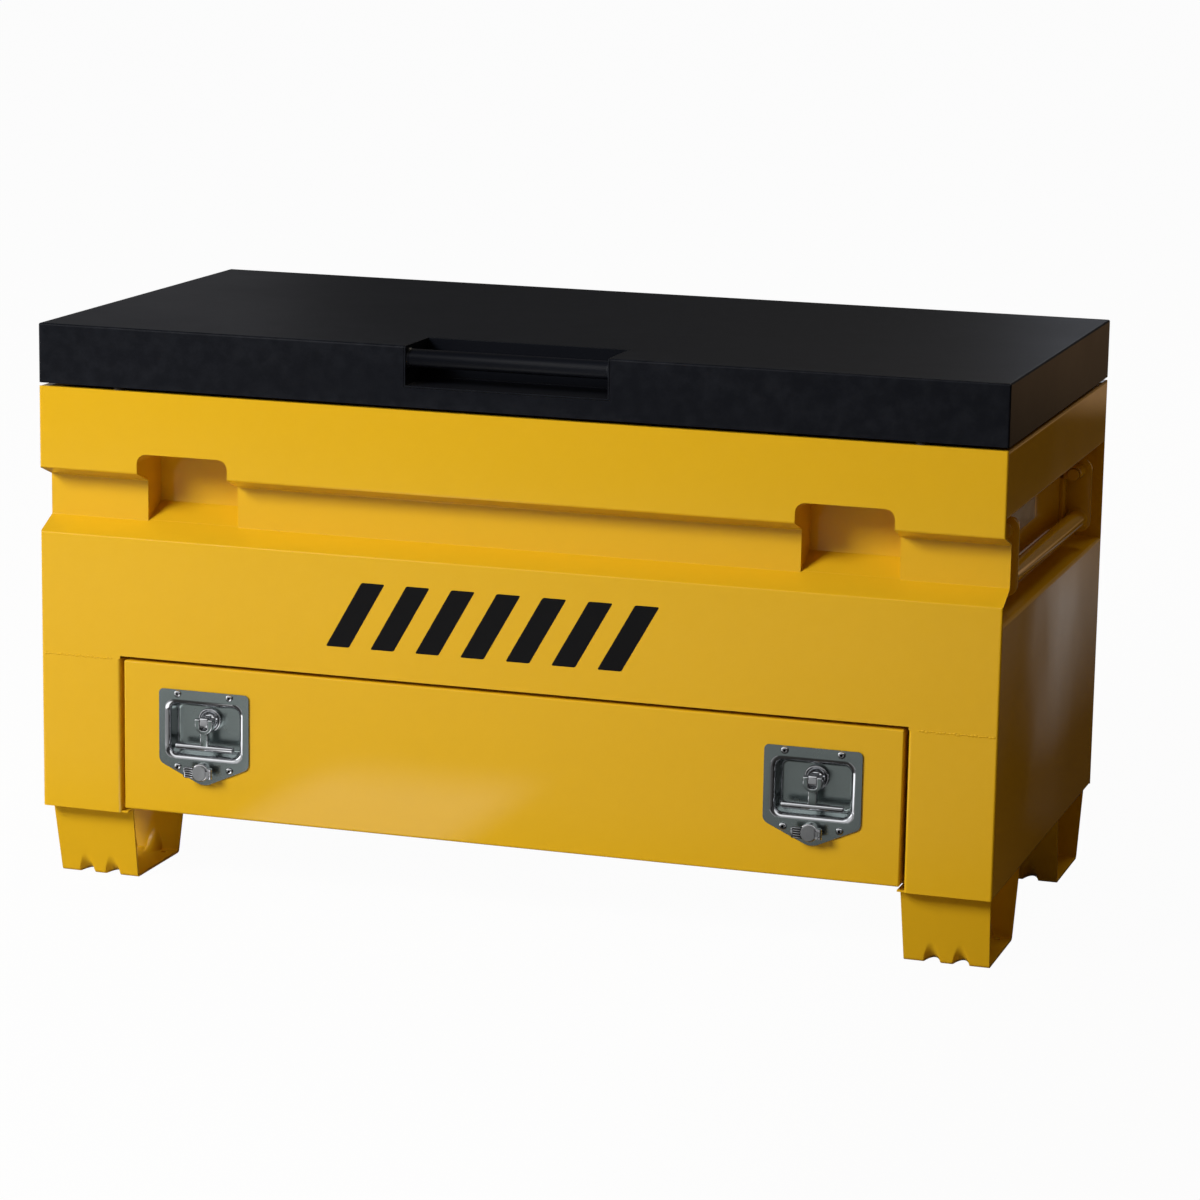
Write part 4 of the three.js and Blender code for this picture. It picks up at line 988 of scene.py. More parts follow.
@dataclass
class Hinge:
    """The continuous hinge along the back."""

    shop: Workshop
    half: float = 550.0
    knuckles: int = 15
    screws: int = 12
    radius: float = 4.5
    axis_back: float = 604.5
    height: float = 629.0
    leaf: float = 26.0
    leaf_back: float = 602.0
    gap: float = 0.3

    def build(self) -> None:
        """Makes both leaves with round knuckles, and the pin."""
        for onto_lid in (True, False):
            self._leaf(onto_lid)
        bm = bmesh.new()
        turn(bm, rod(2.5, -self.half, self.half, 0.4), Axis.X, self._axis(), 24)
        self.shop.put(bm, "hinge_rod", "root", "zinc_steel", [Finish.ZINC],
                      stands_for=["hinge_pin"])

    def _axis(self) -> Vector:
        """The middle of the hinge's axis."""
        return place(0.0, self.axis_back, self.height)

    def _leaf(self, onto_lid: bool) -> None:
        """One leaf, its knuckles and its screws.

        Args:
            onto_lid: Whether it is the lid's leaf.
        """
        bm = bmesh.new()
        way = 1.0 if onto_lid else -1.0
        near = self.height + way * (self.radius + self.gap)
        far = self.height + way * self.leaf
        add_box(bm, place(-self.half, BODY_DEPTH, near), place(self.half, self.leaf_back, far))
        pitch = 2 * self.half / self.knuckles
        for index in range(1 if onto_lid else 0, self.knuckles, 2):
            start = -self.half + index * pitch + self.gap
            end = start + pitch - 2 * self.gap
            turn(bm, sleeve(self.radius, 2.8, start, end, 0.3), Axis.X, self._axis(), 32)
            add_box(bm, place(start, BODY_DEPTH, self.height + way * 3.2),
                    place(end, self.leaf_back, near + way * 0.4))
        soften(bm, 0.2, 2, 60.0)
        screw_z = (near + far) / 2 + way * 3.0
        head = [(0.0, 3.2), (1.6, 3.2), (2.8, 2.8), (3.6, 1.9), (3.6, 1.5), (0.0, 1.5)]
        for index in range(self.screws):
            x = -self.half + 2 * self.half * (index + 0.5) / self.screws
            turn(bm, head, Axis.Y, place(x, BODY_DEPTH, screw_z), 20)
        owner = "lid" if onto_lid else "body"
        self.shop.fit(bm, f"{owner}_hinge_leaf", "round", [Finish.ZINC], 40.0)


@dataclass
class GasStrut(Sided):
    """A gas strut that holds the lid."""

    plane: float = 557.0
    wall: tuple[float, float] = (454.5, 494.0)
    lid: tuple[float, float] = (524.5, 659.0)

    def build(self) -> None:
        """Makes the strut's tube and rod, and dresses its wall bracket."""
        self._tube()
        self._rod()
        self.shop.dress(f"{self.side.label}_strut_wall_bracket", Finish.ZINC, 0.35)

    def _finish(self, bm: BMesh, eye_height: float, part: str, suffix: str,
                finish: Finish) -> None:
        """Adds a pivot's eye, and lays an upright part between the strut's pivots.

        Args:
            bm: The part, its lower pivot at the origin.
            eye_height: The eye's height in millimetres.
            part: The part's node without its side.
            suffix: What the piece's name adds to it.
            finish: The part's finish.
        """
        turn(bm, sleeve(8.0, 4.3, -5.0, 5.0, 0.6), Axis.X, Vector((0.0, 0.0, eye_height * MM)),
             32)
        lean = math.atan2(self.wall[0] - self.lid[0], self.lid[1] - self.wall[1])
        matrix = Matrix.Translation(place(self.side.value * self.plane, *self.wall))
        bmesh.ops.transform(bm, matrix=matrix @ Matrix.Rotation(lean, 4, "X"), verts=bm.verts)
        self.fit(bm, part, suffix, [finish])

    def _tube(self) -> None:
        """The pressure tube with its eye."""
        bm = bmesh.new()
        profile = [(0.0, 6.0), (4.0, 6.0), (4.0, 10.5), (5.4, 12.0), (8.6, 12.0), (9.7, 13.1),
                   (10.0, 15.0), (10.0, 143.0), (9.4, 145.5), (8.6, 146.4), (9.3, 147.4),
                   (9.3, 149.0), (8.2, 150.0), (4.3, 150.0), (4.3, 28.0), (0.0, 28.0)]
        turn(bm, profile, Axis.Z, Vector(), 40)
        self._finish(bm, 0.0, "strut_cylinder", "tube", Finish.GLOSS_BLACK)

    def _rod(self) -> None:
        """The polished rod with its eye and stud."""
        bm = bmesh.new()
        top = math.dist(self.wall, self.lid)
        profile = [(0.0, 32.0), (3.6, 32.0), (4.0, 32.4), (4.0, top - 14.0), (5.0, top - 13.0),
                   (5.0, top - 7.0), (0.0, top - 7.0)]
        turn(bm, profile, Axis.Z, Vector(), 32)
        stud = [(0.0, -5.6), (3.6, -5.6), (4.0, -5.2), (4.0, 9.7), (0.0, 9.7)]
        turn(bm, stud, Axis.X, Vector((0.0, 0.0, top * MM)), 24, self.side.value)
        self._finish(bm, top, "strut_rod", "bright", Finish.CHROME)


@dataclass
class SideHandle(Sided):
    """A drop handle in a side recess."""

    pivot_x: float = 592.1
    pivot_z: float = 521.0
    arm_width: float = 34.0
    arm_thickness: float = 5.0
    arm_inset: float = 79.5
    arm_bottom: float = 442.0
    grip_radius: float = 11.5
    grip_z: float = 459.0
    recess_wall: float = 574.5
    rib_proud: float = 5.0
    rib_span: tuple[float, float] = (90.0, 112.0)
    rib_top: float = 528.0
    web_bottom: float = 514.0
    pin_length: float = 48.3

    def build(self) -> None:
        """Makes the handle and its pivots."""
        for end in End:
            self._arm(end)
            self._pivot(end)
        self._grip()

    def _arm(self, end: End) -> None:
        """A flat arm with a round top.

        Args:
            end: The arm's end.
        """
        bm = bmesh.new()
        half = self.arm_width / 2
        y = end.deep(self.arm_inset - self.arm_thickness / 2)
        sweep = self.arm_thickness if end is End.FRONT else -self.arm_thickness
        centre = self.side.value * self.pivot_x
        corners = rectangle(centre - half, centre + half, y, self.arm_bottom, self.pivot_z + half)
        prism(bm, corners, [14.0, 14.0, 16.4, 16.4], 10, Vector((0.0, sweep, 0.0)))
        soften(bm, 0.7, 3, 60.0)
        self.fit(bm, f"{end.value}_handle_arm", "plate", [Finish.YELLOW], 50.0)

    def _pivot(self, end: End) -> None:
        """A welded pin with its boss, its web and the rib under it.

        Args:
            end: The pin's end.
        """
        bm = bmesh.new()
        start = end.deep(self.arm_inset - self.arm_thickness / 2 - 5.3)
        stop = self.pin_length
        profile = [(0.0, 0.0), (9.2, 0.0), (10.0, 0.8), (10.0, 4.4), (9.6, 5.0), (8.0, 5.0),
                   (8.0, 12.0), (9.6, 12.0), (9.6, stop - 5.0), (8.5, stop - 5.0),
                   (8.5, stop - 8.0), (7.4, stop - 8.0), (7.4, stop - 0.5), (7.0, stop),
                   (0.0, stop)]
        turn(bm, profile, Axis.Y, place(self.side.value * self.pivot_x, start, self.pivot_z), 40,
             1.0 if end is End.FRONT else -1.0)
        front, back = (end.deep(y) for y in self.rib_span)
        near = self.side.value * self.recess_wall
        faces: list[BMFace] = []
        for far, low in ((self.pivot_x, self.web_bottom),
                         (self.recess_wall + self.rib_proud, self.arm_bottom)):
            faces += add_box(bm, place(near, front, low),
                             place(self.side.value * far, back, self.rib_top))
        soften(bm, 0.8, 3, 60.0, faces)
        self.fit(bm, f"{end.value}_handle_pivot", "pin", [Finish.YELLOW], 50.0)

    def _grip(self) -> None:
        """The round grip, with a weld fillet at each arm."""
        bm = bmesh.new()
        end = BODY_DEPTH / 2 - self.arm_inset - self.arm_thickness / 2
        radius = self.grip_radius
        half = [(0.0, -end), (radius + 2.6, -end), (radius + 2.3, 0.8 - end),
                (radius + 1.0, 2.0 - end), (radius + 0.3, 3.2 - end), (radius, 4.6 - end)]
        turn(bm, both_ends(half), Axis.Y,
             place(self.side.value * self.pivot_x, BODY_DEPTH / 2, self.grip_z), 56)
        self.fit(bm, "handle_grip", "tube", [Finish.YELLOW], 50.0)


@dataclass
class Drawer:
    """The drawer: front pan, tray and slides."""

    shop: Workshop

    def build(self) -> None:
        """Dresses the drawer's pieces."""
        self.shop.dress("drawer_front", Finish.YELLOW, 0.3, 36.0)
        self.shop.dress("drawer_tray", Finish.YELLOW, 0.25)
        for side in Side:
            for part in ("slide_channel", "slide_rail"):
                self.shop.dress(f"{side.label}_{part}", Finish.ZINC, 0.25)


@dataclass
class Latch(Sided):
    """One drawer latch: dished plate, screws, spindle, T-handle, lock and dust cover."""

    centre: float = 389.5
    plate_front: float = -2.0
    plate_half: float = 60.0
    plate_top: float = 258.5
    shoulder: float = 165.0
    apex: float = 137.5
    plate_sheet: float = 1.4
    dish_low: float = 174.6
    dish_high: float = 241.5
    dish_half: float = 48.0
    dish_depth: float = 20.6
    hub_z: float = 218.5
    pin_y: float = 2.0
    fork_front: float = -3.0
    fork_depth: float = 10.0
    fork_half: float = 11.6
    fork_gap: float = 5.4
    bar_half: float = 38.5
    bar_drop: float = 32.0
    cam_reach: float = 72.5
    lock_z: float = 158.0
    cover_pin: tuple[float, float] = (14.0, -15.2)
    cover_span: tuple[float, float] = (-17.5, -14.3)
    cover_ribs: int = 5
    screw_reach: float = 34.6
    screw_rows: tuple[float, float] = (253.2, 160.6)
    screw_steps: int = 30

    def build(self) -> None:
        """Makes the latch's pieces."""
        self._plate()
        self._screws()
        self._spindle()
        self._handle()
        self._barrel()
        self._cover()

    def _at(self, x: float, y: float, z: float) -> Vector:
        """A place on the latch."""
        return place(self.side.value * self.centre + x, y, z)

    def _facing(self, y: float, outline: Profile) -> list[Vector]:
        """The corners of an outline that faces the front."""
        return [self._at(x, y, z) for x, z in outline]

    def _block(self, left: float, right: float, y: float, low: float, high: float) -> list[Vector]:
        """The corners of a rectangle that faces the front."""
        return self._facing(y, [(left, low), (right, low), (right, high), (left, high)])

    def _turn(self, bm: BMesh, profile: Profile, steps: int, height: float | None = None) -> None:
        """Turns a profile about a line that runs from front to back."""
        turn(bm, profile, Axis.Y, self._at(0.0, 0.0, height or self.hub_z), steps)

    def _plate(self) -> None:
        """The pressed plate: flat rim, rolled lip, dish walls and floor."""
        bm = bmesh.new()
        front, floor = self.plate_front, self.dish_depth
        corners = self._facing(front, [
            (-self.plate_half, self.shoulder), (0.0, self.apex), (self.plate_half, self.shoulder),
            (self.plate_half, self.plate_top), (-self.plate_half, self.plate_top)])
        rim = outline_face(bm, corners, [6.0, 9.0, 6.0, 6.0, 6.0], 8)
        rim_edges = list(rim.edges)
        bmesh.ops.delete(bm, geom=[rim], context="FACES_ONLY")
        steps = [(5.0, front, 14.8), (3.9, front + 0.15, 14.0), (2.5, front + 0.6, 13.0),
                 (1.2, front + 1.25, 12.0), (0.0, front + 2.15, 11.0), (-1.0, front + 3.4, 10.2),
                 (-1.8, front + 5.0, 9.6), (-2.4, front + 7.2, 9.1), (-3.6, floor - 4.6, 8.4),
                 (-4.3, floor - 2.4, 8.0), (-5.3, floor - 0.9, 7.6), (-6.6, floor - 0.15, 7.0),
                 (-7.8, floor, 6.4)]
        loops = [self._dish_loop(bm, *step, keep_face=step is steps[-1]) for step in steps]
        bmesh.ops.triangle_fill(bm, edges=rim_edges + loops[0], use_beauty=True,
                                use_dissolve=False)
        for first, second in zip(loops, loops[1:]):
            bmesh.ops.bridge_loops(bm, edges=first + second)
        bmesh.ops.recalc_face_normals(bm, faces=bm.faces)
        if sum(face.normal.y * face.calc_area() for face in bm.faces) > 0:
            bmesh.ops.reverse_faces(bm, faces=bm.faces)
        self._mark_walls(bm)
        name = f"{self.side.label}_latch_plate"
        piece = self.shop.put(bm, name, "drawer", "stainless_steel",
                              [Finish.PLATE, Finish.POLISHED], 60.0,
                              [f"{self.side.label}_latch_dish"])
        make_sheet(piece, self.plate_sheet, 0.5, 3)
        weigh_normals(piece)

    def _dish_loop(self, bm: BMesh, grow: float, y: float, corner: float,
                   keep_face: bool) -> list[BMEdge]:
        """One rounded rectangle of the dish.

        Args:
            bm: The bmesh to add to.
            grow: Millimetres that it stands outside the dish's mouth.
            y: Its depth.
            corner: Its corner radius.
            keep_face: Whether its face stays.

        Returns:
            Its edges.
        """
        half = self.dish_half + grow
        corners = self._block(-half, half, y, self.dish_low - grow, self.dish_high + grow)
        face = outline_face(bm, corners, [corner] * 4, 8)
        edges = list(face.edges)
        if not keep_face:
            bmesh.ops.delete(bm, geom=[face], context="FACES_ONLY")
        return edges

    def _mark_walls(self, bm: BMesh) -> None:
        """Gives the dish's lip and walls the polished finish.

        Args:
            bm: The plate.
        """
        lip = 3.4
        low = self._at(-self.dish_half - lip, 0.0, self.dish_low - lip)
        high = self._at(self.dish_half + lip, self.dish_depth - 0.6, self.dish_high + lip)
        for face in bm.faces:
            spot = face.calc_center_median()
            inside = low.x < spot.x < high.x and low.z < spot.z < high.z
            face.material_index = 1 if inside and spot.y <= high.y else 0

    def _screws(self) -> None:
        """Four button-head screws with hexagon sockets."""
        bm = bmesh.new()
        for x in (-self.screw_reach, self.screw_reach):
            for z in self.screw_rows:
                self._screw(bm, self._at(x, self.plate_front, z), 0.4 * x)
        self.shop.put(bm, f"{self.side.label}_latch_screws", "drawer", "stainless_steel",
                      [Finish.POLISHED, Finish.SOCKET], 42.0)

    def _screw(self, bm: BMesh, seat: Vector, angle: float) -> None:
        """A button head on its seat.

        Args:
            bm: The bmesh to add to.
            seat: The middle of its underside.
            angle: How far its socket is turned, in radians.
        """
        dome = [(4.6, 0.0), (4.75, 0.4), (4.6, 0.95), (4.2, 1.6), (3.5, 2.2), (2.75, 2.5)]
        socket = [(1.95, 2.5), (1.95, 1.0)]
        wedge = math.pi / 3
        loops: list[list[BMEdge]] = []
        for index, (radius, rise) in enumerate(dome + socket):
            centre = seat - Vector((0.0, rise * MM, 0.0))
            matrix = Matrix.Translation(centre) @ Matrix.Rotation(math.pi / 2, 4, "X")
            made = bmesh.ops.create_circle(
                bm, cap_ends=index > len(dome), radius=radius * MM, segments=self.screw_steps,
                matrix=matrix)
            for vert in made["verts"] if index >= len(dome) else ():
                spoke = vert.co - centre
                facing = math.atan2(spoke.z, spoke.x) - angle
                offset = (facing % wedge) - wedge / 2
                vert.co = centre + spoke * (math.cos(wedge / 2) / math.cos(offset))
            loops.append(list({edge for vert in made["verts"] for edge in vert.link_edges}))
        # The socket's walls and floor take the second slot, near-black painted shade.
        for index, (first, second) in enumerate(zip(loops, loops[1:])):
            for face in bmesh.ops.bridge_loops(bm, edges=first + second)["faces"]:
                face.material_index = 1 if index >= len(dome) else 0
        shell = {face for loop in loops for edge in loop for face in edge.link_faces}
        for face in shell:
            if len(face.verts) == self.screw_steps:
                face.material_index = 1
        bm.normal_update()
        bmesh.ops.recalc_face_normals(bm, faces=list(shell))
        if sum((face.calc_center_median() - seat).dot(face.normal)
               for face in shell if face.material_index == 0) < 0:
            bmesh.ops.reverse_faces(bm, faces=list(shell))

    def _spindle(self) -> None:
        """Shaft, domed hub, tongue, cross pin and cam."""
        bm = bmesh.new()
        back = self.dish_depth - 0.3
        hub = [(0.0, 0.0), (15.3, 0.0), (15.3, 3.6), (15.1, 4.4), (14.5, 5.0), (13.7, 5.2),
               (12.9, 5.0), (12.2, 4.5), (11.6, 4.5), (11.0, 5.4), (10.2, 6.8), (8.8, 8.3),
               (7.2, 9.5), (5.4, 10.2), (3.0, 10.5), (0.0, 10.5)]
        self._turn(bm, [(radius, back - rise) for radius, rise in hub], 56)
        self._turn(bm, [(0.0, back), (8.0, back), (8.0, 36.4), (6.8, 37.4), (0.0, 37.4)], 32)
        cam_front, cam_sheet = 31.0, 4.0
        self._turn(bm, rod(15.3, cam_front, cam_front + cam_sheet, 0.4), 40)
        low, high = self.hub_z - 7.0, self.hub_z + 7.0
        corners = [self._at(-5.0, y, z)
                   for y, z in ((-2.5, low), (15.0, low), (15.0, high), (-2.5, high))]
        tongue = prism(bm, corners, [3.5, 0.0, 0.0, 3.5], 6, Vector((10.0, 0.0, 0.0)))
        soften(bm, 0.6, 3, 50.0, tongue)
        turn(bm, rod(2.5, -11.2, 11.2, 0.4), Axis.X, self._at(0.0, self.pin_y, self.hub_z), 24)
        left, right = sorted((0.0, -self.side.value * self.cam_reach))
        corners = self._block(left, right, cam_front, self.hub_z - 11.0, self.hub_z + 11.0)
        cam = prism(bm, corners, [5.5] * 4, 6, Vector((0.0, cam_sheet, 0.0)))
        soften(bm, 0.5, 2, 60.0, cam)
        self.fit(bm, "latch_spindle", "round", [Finish.POLISHED], 50.0)

    def _handle(self) -> None:
        """The forked T-handle with its stem, bar and pin heads."""
        bm = bmesh.new()
        half, gap, front = self.fork_half, self.fork_gap, self.fork_front
        low, high = self.hub_z - 14.0, self.hub_z + 5.0
        heel = low + 4.4
        corners = self._facing(front, [(-half, low), (half, low), (half, high), (gap, high),
                                       (gap, heel), (-gap, heel), (-gap, high), (-half, high)])
        prism(bm, corners, [11.3, 11.3, 0.0, 0.0, 3.5, 3.5, 0.0, 0.0], 10,
              Vector((0.0, self.fork_depth, 0.0)))
        self._round_prongs(bm, high * MM)
        soften(bm, 0.8, 3, 55.0)
        foot = self.hub_z - self.bar_drop
        stem = add_box(bm, self._at(-5.25, self.plate_front, foot), self._at(5.25, 5.6, low + 3.0))
        soften(bm, 1.2, 3, 50.0, stem)
        bm.normal_update()
        for face in bm.faces:
            if face.normal.y < FRONTWARD:
                face.material_index = 1
        end = self.bar_half
        profile = [(0.0, -end), (2.6, -end), (3.5, 0.35 - end), (4.05, 1.0 - end),
                   (4.25, 2.0 - end)]
        turn(bm, both_ends(profile), Axis.X, self._at(0.0, 1.5, foot), 40)
        pin_head = [(0.0, 11.4), (2.9, 11.4), (2.9, 12.0), (2.2, 12.5), (0.0, 12.6)]
        for way in (-1.0, 1.0):
            turn(bm, pin_head, Axis.X, self._at(0.0, self.pin_y, self.hub_z), 24, way)
        self.fit(bm, "t_handle", "forged", [Finish.POLISHED, Finish.PLATE], 45.0)

    def _round_prongs(self, bm: BMesh, top: float) -> None:
        """Rounds the tops of the fork's prongs about the cross pin.

        Args:
            bm: The fork.
            top: The height of the tops in metres.
        """
        tops = [edge for edge in bm.edges
                if all(abs(vert.co.z - top) < 1e-6 for vert in edge.verts)
                and abs(edge.verts[0].co.y - edge.verts[1].co.y) < 1e-6]
        bevel_edges(bm, tops, 0.22 * self.fork_depth, 5)

    def _barrel(self) -> None:
        """The lock barrel with its collar, its hinge lugs, the cover's pin and a keyway of painted
        shade.
        """
        bm = bmesh.new()
        profile = [(0.0, 22.0), (9.6, 22.0), (10.4, 21.0), (10.4, -2.2), (11.0, -2.2),
                   (11.0, -12.9), (10.6, -13.6), (9.9, -14.0), (9.2, -14.0), (8.8, -13.5),
                   (8.4, -13.6), (0.0, -13.6)]
        self._turn(bm, profile, 56, self.lock_z)
        pin_x, pin_y = self.cover_pin
        pin = self._at(pin_x, pin_y, self.lock_z)
        near, far = 3.3, 6.3
        for way in (-1.0, 1.0):
            add_box(bm, self._at(8.0, pin_y, self.lock_z + way * near),
                    self._at(pin_x, -9.0, self.lock_z + way * far))
            turn(bm, rod(2.5, way * near, way * far), Axis.Z, pin, 24)
        turn(bm, rod(1.2, -far, far), Axis.Z, pin, 16)
        # The keyway is a near-black block, a painted shade in place of a slot.
        for face in add_box(bm, self._at(-1.3, -13.75, self.lock_z - 4.0),
                            self._at(1.3, -11.0, self.lock_z + 4.0)):
            face.material_index = 1
        self.fit(bm, "lock_barrel", "chrome", [Finish.CHROME, Finish.SOCKET])

    def _cover(self) -> None:
        """The hinged dust cover with its ribbed tab."""
        bm = bmesh.new()
        front, back = self.cover_span
        self._turn(bm, [(0.0, back), (9.1, back), (9.5, back - 0.4), (9.5, front + 0.5),
                        (9.0, front), (0.0, front)], 48, self.lock_z)
        left, low, high = -20.75, self.lock_z - 7.25, self.lock_z + 7.25
        base = front + 1.2
        tab = prism(bm, self._block(left, -4.5, base, low, high), [2.0, 0.0, 0.0, 2.0], 5,
                    Vector((0.0, back - base, 0.0)))
        # The tab's front face between the ribs takes the third slot, near-black painted shade.
        for face in tab:
            face.material_index = 2 if face.normal.y < FRONTWARD else 0
        soften(bm, 0.35, 2, 60.0, tab)
        known = set(bm.faces)
        for index in range(self.cover_ribs):
            middle = low + (high - low) / self.cover_ribs * (index + 0.5)
            add_box(bm, self._at(left + 1.6, front - 0.3, middle - 0.75),
                    self._at(-8.4, base + 0.4, middle + 0.75))
        add_box(bm, self._at(left, front - 0.8, low + 1.4),
                self._at(left + 2.5, base + 0.4, high - 1.4))
        soften(bm, 0.35, 2, 60.0, fresh(bm, known))
        for face in fresh(bm, known):
            face.material_index = 1
        pin_x, pin_y = self.cover_pin
        turn(bm, sleeve(2.5, 1.5, -3.0, 3.0, 0.2), Axis.Z, self._at(pin_x, pin_y, self.lock_z),
             24)
        add_box(bm, self._at(8.0, front, self.lock_z - 3.0),
                self._at(12.2, back, self.lock_z + 3.0))
        self.fit(bm, "dust_cover", "ribbed", [Finish.ZINC, Finish.POLISHED, Finish.SOCKET])


@dataclass
class Trim:
    """Small pieces: the screw low on the right side and the rubber bumpers."""

    shop: Workshop
    bumper: tuple[float, float] = (505.0, 12.0)
    screw: tuple[float, float] = (42.0, 128.0)

    def build(self) -> None:
        """Makes the trim."""
        bm = bmesh.new()
        turn(bm, [(0.0, 604.0), (4.2, 604.0), (4.2, 604.6), (3.6, 605.6), (2.2, 606.2),
                  (0.0, 606.4)], Axis.X, place(0.0, *self.screw), 28)
        self.shop.put(bm, "side_screw", "root", "zinc_steel", [Finish.ZINC])
        across, deep = self.bumper
        for side in Side:
            bm = bmesh.new()
            turn(bm, [(0.0, 627.0), (8.0, 627.0), (8.0, 629.4), (7.4, 630.4), (6.0, 631.0),
                      (0.0, 631.0)], Axis.Z, place(side.value * across, deep, 0.0), 32)
            self.shop.fit(bm, f"{side.label}_lid_bumper", "pad", [Finish.RUBBER])


# Studio


@dataclass
class Studio:
    """Camera, floor, world and lamps."""

    box_middle: Colour = (0.0, 0.0, 0.35)
    camera_place: Colour = (1.53027, -4.70578, 1.37587)
    camera_right: Colour = (0.95142, 0.30743, 0.01674)
    camera_up: Colour = (-0.07809, 0.18836, 0.97899)
    lens: float = 119.23
    floor_half: float = 60.0
    floor_glow: float = 0.97
    soft_light: float = 0.10

    def camera(self) -> None:
        """Sets up the camera at the photograph's viewing angle."""
        data = bpy.data.cameras.new("camera")
        data.lens = self.lens
        data.sensor_width = 36.0
        data.sensor_fit = "HORIZONTAL"
        data.clip_end = 200.0
        data.dof.use_dof = False
        holder = add_object("camera", data)
        right = Vector(self.camera_right).normalized()
        back = right.cross(Vector(self.camera_up)).normalized()
        facing = Matrix((right, back.cross(right), back)).transposed().to_4x4()
        holder.matrix_world = Matrix.Translation(self.camera_place) @ facing
        bpy.context.scene.camera = holder

    def floor(self) -> None:
        """Lays the pale floor, which keeps the box's shadow."""
        bm = bmesh.new()
        bmesh.ops.create_grid(bm, x_segments=1, y_segments=1, size=self.floor_half)
        mesh = bpy.data.meshes.new("floor")
        bm.to_mesh(mesh)
        bm.free()
        floor = add_object("floor", mesh)
        material = bpy.data.materials.new("studio_floor")
        graph = Graph.on(material)
        spot = graph.parts("Object")
        rightward = graph.remap(spot["X"], 0.3, 0.65, 0.0, 1.0)
        paper = graph.add("BsdfDiffuse", {
            "Color": graph.blend(rightward, (0.62, 0.61, 0.58), (0.28, 0.22, 0.15))})
        # The floor glows white for the camera; in reflections its glow carries painted reflections:
        # window light, streaks and a warm far end.
        glow = graph.add("Emission", {"Color": self._far_tint(graph, spot),
                                      "Strength": self._reflected(graph, spot)})
        share = graph.math("MULTIPLY", self._seen(graph), self.floor_glow)
        mix = graph.add("MixShader", {0: share, 1: paper.outputs[0], 2: glow.outputs[0]})
        graph.add("OutputMaterial", {"Surface": mix.outputs[0]})
        mesh.materials.append(material)

    def world(self) -> None:
        """Lights the surroundings softly, and shows them white."""
        world = bpy.data.worlds.new("studio")
        bpy.context.scene.world = world
        graph = Graph.on(world)
        way = graph.parts("Generated")
        rightward = graph.remap(way["X"], -0.05, 0.45, 0.0, 1.0)
        soft = graph.add("Background", {
            "Color": graph.blend(rightward, (0.95, 0.97, 1.0), (0.95, 0.60, 0.30)),
            "Strength": self.soft_light})
        side_sky = graph.remap(self._lean(graph, way), 0.45, 0.95, 0.05, 0.9)
        window = graph.math("MULTIPLY", graph.remap(way["Z"], 0.38, 0.5, 0.0, 1.3),
                            graph.remap(way["Z"], 0.72, 0.86, 1.0, 0.0),
                            graph.remap(way["Y"], -0.5, -0.35, 1.0, 0.0))
        sky = self._for_gloss(graph, graph.math("MAXIMUM", side_sky, window))
        white = graph.add("Background", {"Color": (1, 1, 1), "Strength": sky})
        mix = graph.add("MixShader", {0: self._seen(graph), 1: soft.outputs[0],
                                      2: white.outputs[0]})
        graph.add("OutputWorld", {"Surface": mix.outputs[0]})

    @staticmethod
    def _lean(graph: Graph, spot: bpy_prop_collection) -> NodeSocket:
        """How far a place or direction lies to the front left, where the window is."""
        return graph.math("ADD", graph.math("MULTIPLY", spot["X"], -0.85),
                          graph.math("MULTIPLY", spot["Y"], -0.5))

    @staticmethod
    def _seen(graph: Graph) -> NodeSocket:
        """Whether a ray sees the white studio: direct, through glass or in a reflection."""
        rays = graph.add("LightPath").outputs
        return graph.math("MAXIMUM", rays["Is Camera Ray"], rays["Is Transmission Ray"],
                          rays["Is Glossy Ray"])

    @staticmethod
    def _for_gloss(graph: Graph, level: NodeSocket) -> NodeSocket:
        """White for the camera, and a level of its own for reflections."""
        return graph.remap(graph.add("LightPath").outputs["Is Glossy Ray"], 0.0, 1.0, 1.0, level)

    @staticmethod
    def _far_tint(graph: Graph, spot: bpy_prop_collection) -> NodeSocket:
        """White for the camera, and for reflections a painted warm glow at the floor's far end."""
        share = graph.math("MULTIPLY", graph.remap(spot["Y"], 1.9, 3.0, 0.0, 1.0),
                           graph.add("LightPath").outputs["Is Glossy Ray"])
        return graph.blend(share, (1.0, 1.0, 1.0), (1.0, 0.62, 0.34))

    @staticmethod
    def _streaks(graph: Graph, spot: bpy_prop_collection) -> NodeSocket:
        """Painted pale and dark upright streaks on the floor's glow, which the right side mirrors
        as painted reflections.

        Args:
            graph: The floor's graph.
            spot: The place's parts.

        Returns:
            The brightness.
        """
        along = graph.math("ADD", spot["Y"], 3.434, graph.math("MULTIPLY", spot["X"], -5.45))
        pale = graph.math("MULTIPLY", graph.remap(along, -0.08, -0.02, 0.0, 1.0),
                          graph.remap(along, 0.1, 0.24, 1.0, 0.36))
        streak = graph.math("ADD", pale, graph.remap(along, -0.42, -0.34, 0.14, 0.0))
        return graph.math("MULTIPLY", streak, graph.remap(spot["X"], 0.76, 0.98, 0.04, 1.0),
                          graph.remap(spot["X"], 1.06, 1.2, 1.0, 0.1),
                          graph.remap(spot["Y"], 0.35, 0.5, 0.0, 0.46))

